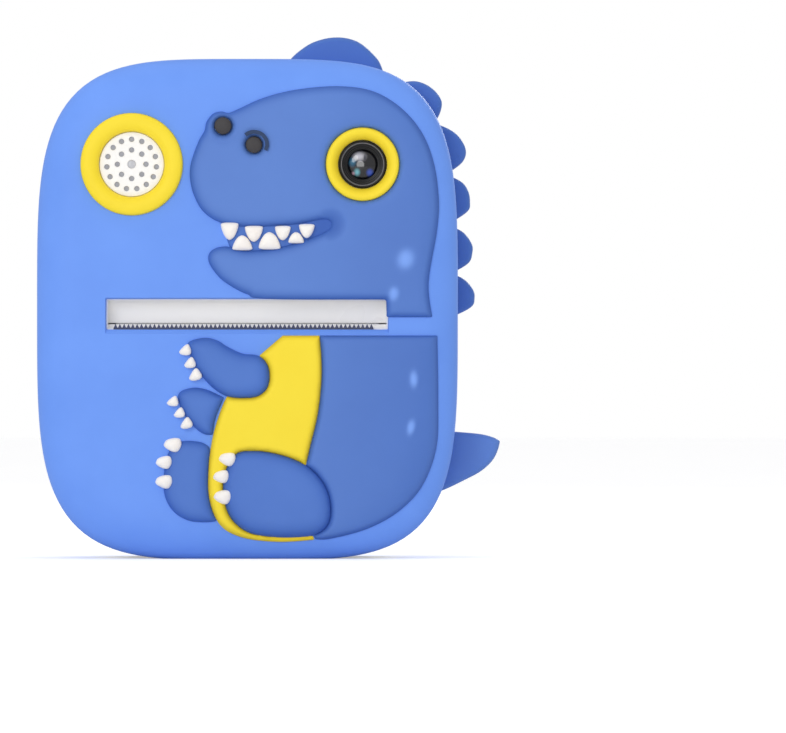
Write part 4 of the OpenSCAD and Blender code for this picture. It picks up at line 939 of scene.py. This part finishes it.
def layer(name, outlines, step, material):
    bm = bmesh.new()
    for outline in outlines:
        loft(bm, [at_y(outline, window_high.y - 0.02), at_y(outline, window_high.y + 0.02 + 0.025 * step)])
    shell_piece(name, bm, material, "lcd_glass", (), 20)


def in_picture(points, steps=6):
    """Local (left to right, up) points as seen from the back, kept inside the picture."""
    out = smooth_outline([(px - u * PICTURE_W / 2, pz + v * PICTURE_H / 2) for u, v in points], steps)
    out[:, 0] = np.clip(out[:, 0], px - PICTURE_W / 2, px + PICTURE_W / 2)
    out[:, 1] = np.clip(out[:, 1], pz - PICTURE_H / 2, pz + PICTURE_H / 2)
    return out


layer("picture_sky", [rounded_rect(PICTURE_W, PICTURE_H, 0.1, (px, pz), 2)], 0,
      glowing("backlit_picture_sky", "#A9D9F5", "#93CBF0"))
layer("picture_sun", [round_outline(px + 15, pz + 10, 3.1, 40)], 1,
      glowing("backlit_picture_sun", "#FFDB57", "#FFCF3D"))
layer("picture_clouds",
      [in_picture([(0.05, 0.5), (0.12, 0.66), (0.24, 0.64), (0.33, 0.8), (0.47, 0.74), (0.56, 0.6),
                   (0.66, 0.56), (0.66, 0.46), (0.4, 0.44), (0.15, 0.43)]),
       in_picture([(-0.36, 0.34), (-0.3, 0.45), (-0.2, 0.43), (-0.12, 0.53), (-0.02, 0.44), (0.04, 0.36),
                   (0.02, 0.3), (-0.2, 0.29)])], 1,
      glowing("backlit_picture_cloud", "#FFFFFF", "#F0F5FA"))
layer("picture_far_hills",
      [in_picture([(-1, -1), (-1, -1), (-1, 0.02), (-1, 0.02), (-0.7, 0.16), (-0.4, 0.0), (-0.1, 0.1),
                   (0.25, 0.22), (0.6, 0.04), (0.8, 0.06), (1, 0.14), (1, 0.14), (1, -1), (1, -1)])], 2,
      glowing("backlit_picture_far_hills", "#8CC98C", "#7DBD80"))
layer("picture_near_hill",
      [in_picture([(-1, -1), (-1, -1), (-1, -0.34), (-1, -0.34), (-0.6, -0.22), (-0.1, -0.36), (0.4, -0.2),
                   (0.8, -0.26), (1, -0.36), (1, -0.36), (1, -1), (1, -1)])], 3,
      glowing("backlit_picture_near_hill", "#6DB95A", "#5CAA4C"))
layer("picture_path",
      [in_picture([(-0.35, -1), (-0.35, -1), (-0.12, -0.72), (-0.2, -0.5), (-0.13, -0.37), (-0.07, -0.37),
                   (-0.08, -0.5), (0.06, -0.72), (0.02, -1), (0.02, -1)])], 4,
      glowing("backlit_picture_path", "#EAD9A8", "#DFCB94"))
layer("picture_tree_trunk",
      [in_picture([(0.52, -0.42), (0.55, -0.1), (0.53, 0.1), (0.6, 0.1), (0.6, -0.1), (0.64, -0.42)], 4)],
      4, glowing("backlit_picture_trunk", "#8A5E3B", "#7A5030"))
layer("picture_tree_crown",
      [in_picture([(0.36, 0.0), (0.3, 0.16), (0.38, 0.34), (0.5, 0.48), (0.64, 0.46), (0.76, 0.34),
                   (0.82, 0.14), (0.76, -0.02), (0.6, -0.06), (0.46, -0.07)])], 5,
      glowing("backlit_picture_tree", "#3F9447", "#33843C"))

# ---- Rear lens ----
rear_tube_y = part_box("rear_lens_barrel")[0].y / MM
turned_piece("rear_lens_tube",
             [(2.6, 0), (3.7, 0), (3.7, 3.25), (3.6, 3.5), (3.35, 3.55), (3.2, 3.4), (3.1, 3.1), (2.9, 2.9),
              (2.85, 2.6), (2.6, 2.4)], (rear_eye.x, rear_tube_y, rear_eye.z), black_abs, "black_plastic",
             ["rear_lens_barrel"], back=True, angle=25)
lens_dome("rear_lens_dome", 2.55, 0.45, 0.55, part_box("rear_lens_glass")[0].y / MM, rear_eye, rear_glass,
          "rear_lens_glass", back=True)

# ---- Keys and their printed signs ----
for key, outline in KEYS.items():
    low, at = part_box("key_" + key)[0] / MM, centre("key_" + key)
    bm = bmesh.new()
    plate(bm, outline, PANEL_FACE - 2.6, KEY_TOP, 0.45, 5)
    foot = round_outline(at.x, at.z, 1.2, 24)
    loft(bm, [at_y(foot, low.y), at_y(foot, PANEL_FACE - 2.4)])
    mid = outline.mean(axis=0)
    core = mid + (outline - mid) * 0.9
    loft(bm, [at_y(core, PANEL_FACE - 2.5), at_y(core, PANEL_FACE - 2.0)])
    place(mesh_object("key_" + key + "_cap", bm), "button_" + key, key_plastic, "key_plastic", ["key_" + key],
          35)


def sign(key, strokes, width=0.42):
    """Printed lines on a key: strokes of (left to right, up) millimetres from its middle, as seen."""
    at = centre("key_" + key)
    bm = bmesh.new()
    for stroke in strokes:
        closed = stroke[0] == stroke[-1]
        pts = stroke[:-1] if closed else stroke
        ribbon(bm, [(at.x - u, at.z + v) for u, v in pts], width, KEY_TOP - 0.1, KEY_TOP + 0.03, closed)
    place(mesh_object("sign_" + key, bm), "button_" + key, key_ink, "key_plastic", (), 30)


def arc(r, start, end, u=0.0, v=0.0, steps=18):
    around = [polar(r, start + (end - start) * k / steps) for k in range(steps + 1)]
    return [(u + x, v + z) for x, z in around]


def frame_line(w, h, u=0.0, v=0.0):
    return [(u - w / 2, v - h / 2), (u + w / 2, v - h / 2), (u + w / 2, v + h / 2), (u - w / 2, v + h / 2),
            (u - w / 2, v - h / 2)]


sign("power", [arc(1.45, 125, 415), [(0, 0.5), (0, 2.0)]])
sign("menu", [[(-1.5, v), (1.5, v)] for v in (1.0, 0, -1.0)])
sign("back", [[(-0.9, 1.9), (-1.9, 0.95), (-0.9, 0.0)],
              [(-1.8, 0.95), (0.6, 0.95)] + arc(1.1, 90, -90, 0.6, -0.15, 12) + [(-1.3, -1.25)]])
for key, (u, v) in (("up", (0, 1)), ("down", (0, -1)), ("left", (-1, 0)), ("right", (1, 0))):
    sign(key, [[(-0.55 * u - 1.1 * v, -0.55 * v - 1.1 * u), (0.45 * u, 0.45 * v),
                (-0.55 * u + 1.1 * v, -0.55 * v + 1.1 * u)]], 0.5)
sign("flip", [arc(1.75, 150, 20), arc(1.75, 330, 200), [(1.0, 0.95), (1.75, 0.45), (2.1, 1.3)],
              [(-1.0, -0.95), (-1.75, -0.45), (-2.1, -1.3)]])
sign("shoot", [frame_line(4.6, 3.0, 0, 1.5), arc(0.9, 0, 360, 0, 1.5),
               [(-1.0, 3.0), (-0.7, 3.6), (0.7, 3.6), (1.0, 3.0)], [(-2.6, -0.9), (2.6, -0.9)],
               [(-1.7, -1.6), (-2.3, -1.6), (-2.3, -3.1), (2.3, -3.1), (2.3, -1.6), (1.7, -1.6)],
               frame_line(2.8, 1.6, 0, -2.3)], 0.36)

# ---- CAD nodes that show as they are ----
CARRIED = {
    "front_case": (white_abs, "white_abs"), "cutter": (blued_steel, "dark_steel"),
    "lcd_panel": (window_acrylic, "lcd_glass"),
    "key_switches": (black_abs, "black_plastic"), "main_board": (circuit_board, "circuit_board"),
    "battery": (foil, "battery_foil"), "speaker": (black_abs, "black_plastic"),
    "microphone": (steel, "steel"), "usb_port": (steel, "steel"), "card_slot": (steel, "steel"),
    "memory_card": (black_abs, "black_plastic"),
    "front_camera_module": (circuit_board, "circuit_board"),
    "rear_camera_module": (black_abs, "black_plastic"),
    "printer_frame": (grey_abs, "grey_plastic"), "print_head": (aluminium, "aluminium_sink"),
    "head_spring": (steel, "steel"), "platen_roller": (platen_rubber, "black_rubber"),
    "platen_shaft": (steel, "steel"), "platen_gear": (acetal, "gear_acetal"),
    "idler_gear": (acetal, "gear_acetal"), "idler_axle": (steel, "steel"), "motor": (steel, "steel"),
    "motor_pinion": (brass, "pinion_brass"),
    "paper_roll": (thermal_paper, "thermal_paper"), "paper_strip": (thermal_paper, "thermal_paper"),
    "paper_door": (white_abs, "white_abs"), "door_hinge_pins": (steel, "steel"),
    "case_screws": (steel, "steel"), "board_screws": (steel, "steel"),
}
for node, (material, slot_name) in CARRIED.items():
    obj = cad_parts[node]
    obj.data.materials.clear()
    obj.data.materials.append(material)

# ---- Studio ----
def by_ray(tree, lighting, seen):
    """A value that differs between what lights the scene and what the camera sees."""
    path = add(tree, "ShaderNodeLightPath")
    return add(tree, "ShaderNodeMapRange", inputs={"To Min": lighting, "To Max": seen},
               links={"Value": path.outputs["Is Camera Ray"]}).outputs["Result"]


floor_tree = floor_paint.node_tree
floor_tree.links.new(by_ray(floor_tree, 0.0, 0.38),
                     floor_tree.nodes["Principled BSDF"].inputs["Emission Strength"])
bpy.ops.mesh.primitive_plane_add(size=8)
floor = bpy.context.object
floor.name = "studio_floor"
floor.data.materials.append(floor_paint)
floor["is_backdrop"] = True

world = bpy.data.worlds.new("studio")
bpy.context.scene.world = world
world.use_nodes = True
sky = world.node_tree.nodes["Background"]
sky.inputs["Color"].default_value = (1, 1, 1, 1)
world.node_tree.links.new(by_ray(world.node_tree, 0.66, 1.0), sky.inputs["Strength"])


def softbox(name, place_at, target, size, watts):
    data = bpy.data.lights.new(name, "AREA")
    data.shape = "DISK"
    data.size = size
    data.energy = watts
    obj = bpy.data.objects.new(name, data)
    obj.location = place_at
    obj.rotation_euler = (Vector(target) - Vector(place_at)).to_track_quat("-Z", "Y").to_euler()
    bpy.context.scene.collection.objects.link(obj)


softbox("key_softbox", (-0.45, -1.1, 0.45), (0, 0, 0.055), 0.5, 3.0)
softbox("front_softbox", (-0.1, -1.4, 0.1), (0, 0, 0.055), 0.4, 1.9)
softbox("top_softbox", (-0.1, -0.1, 1.2), (0, 0, 0.05), 0.7, 1.6)
softbox("rear_softbox", (0.45, 1.1, 0.45), (0, 0, 0.055), 0.5, 3.0)

EYE = (31.6, -2400.0, 41.7)
FRAME_W = 170.2
camera_data = bpy.data.cameras.new("camera")
camera_data.sensor_width = 36
camera_data.lens = 36 * (-EYE[1] + FRONT_Y) / FRAME_W
camera_data.clip_start, camera_data.clip_end = 0.05, 30
camera = bpy.data.objects.new("camera", camera_data)
camera.location = [c * MM for c in EYE]
camera.rotation_euler = (math.pi / 2, 0, 0)
bpy.context.scene.collection.objects.link(camera)
bpy.context.scene.camera = camera
bpy.context.scene.view_settings.view_transform = "Standard"

bpy.context.view_layer.update()
low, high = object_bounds()
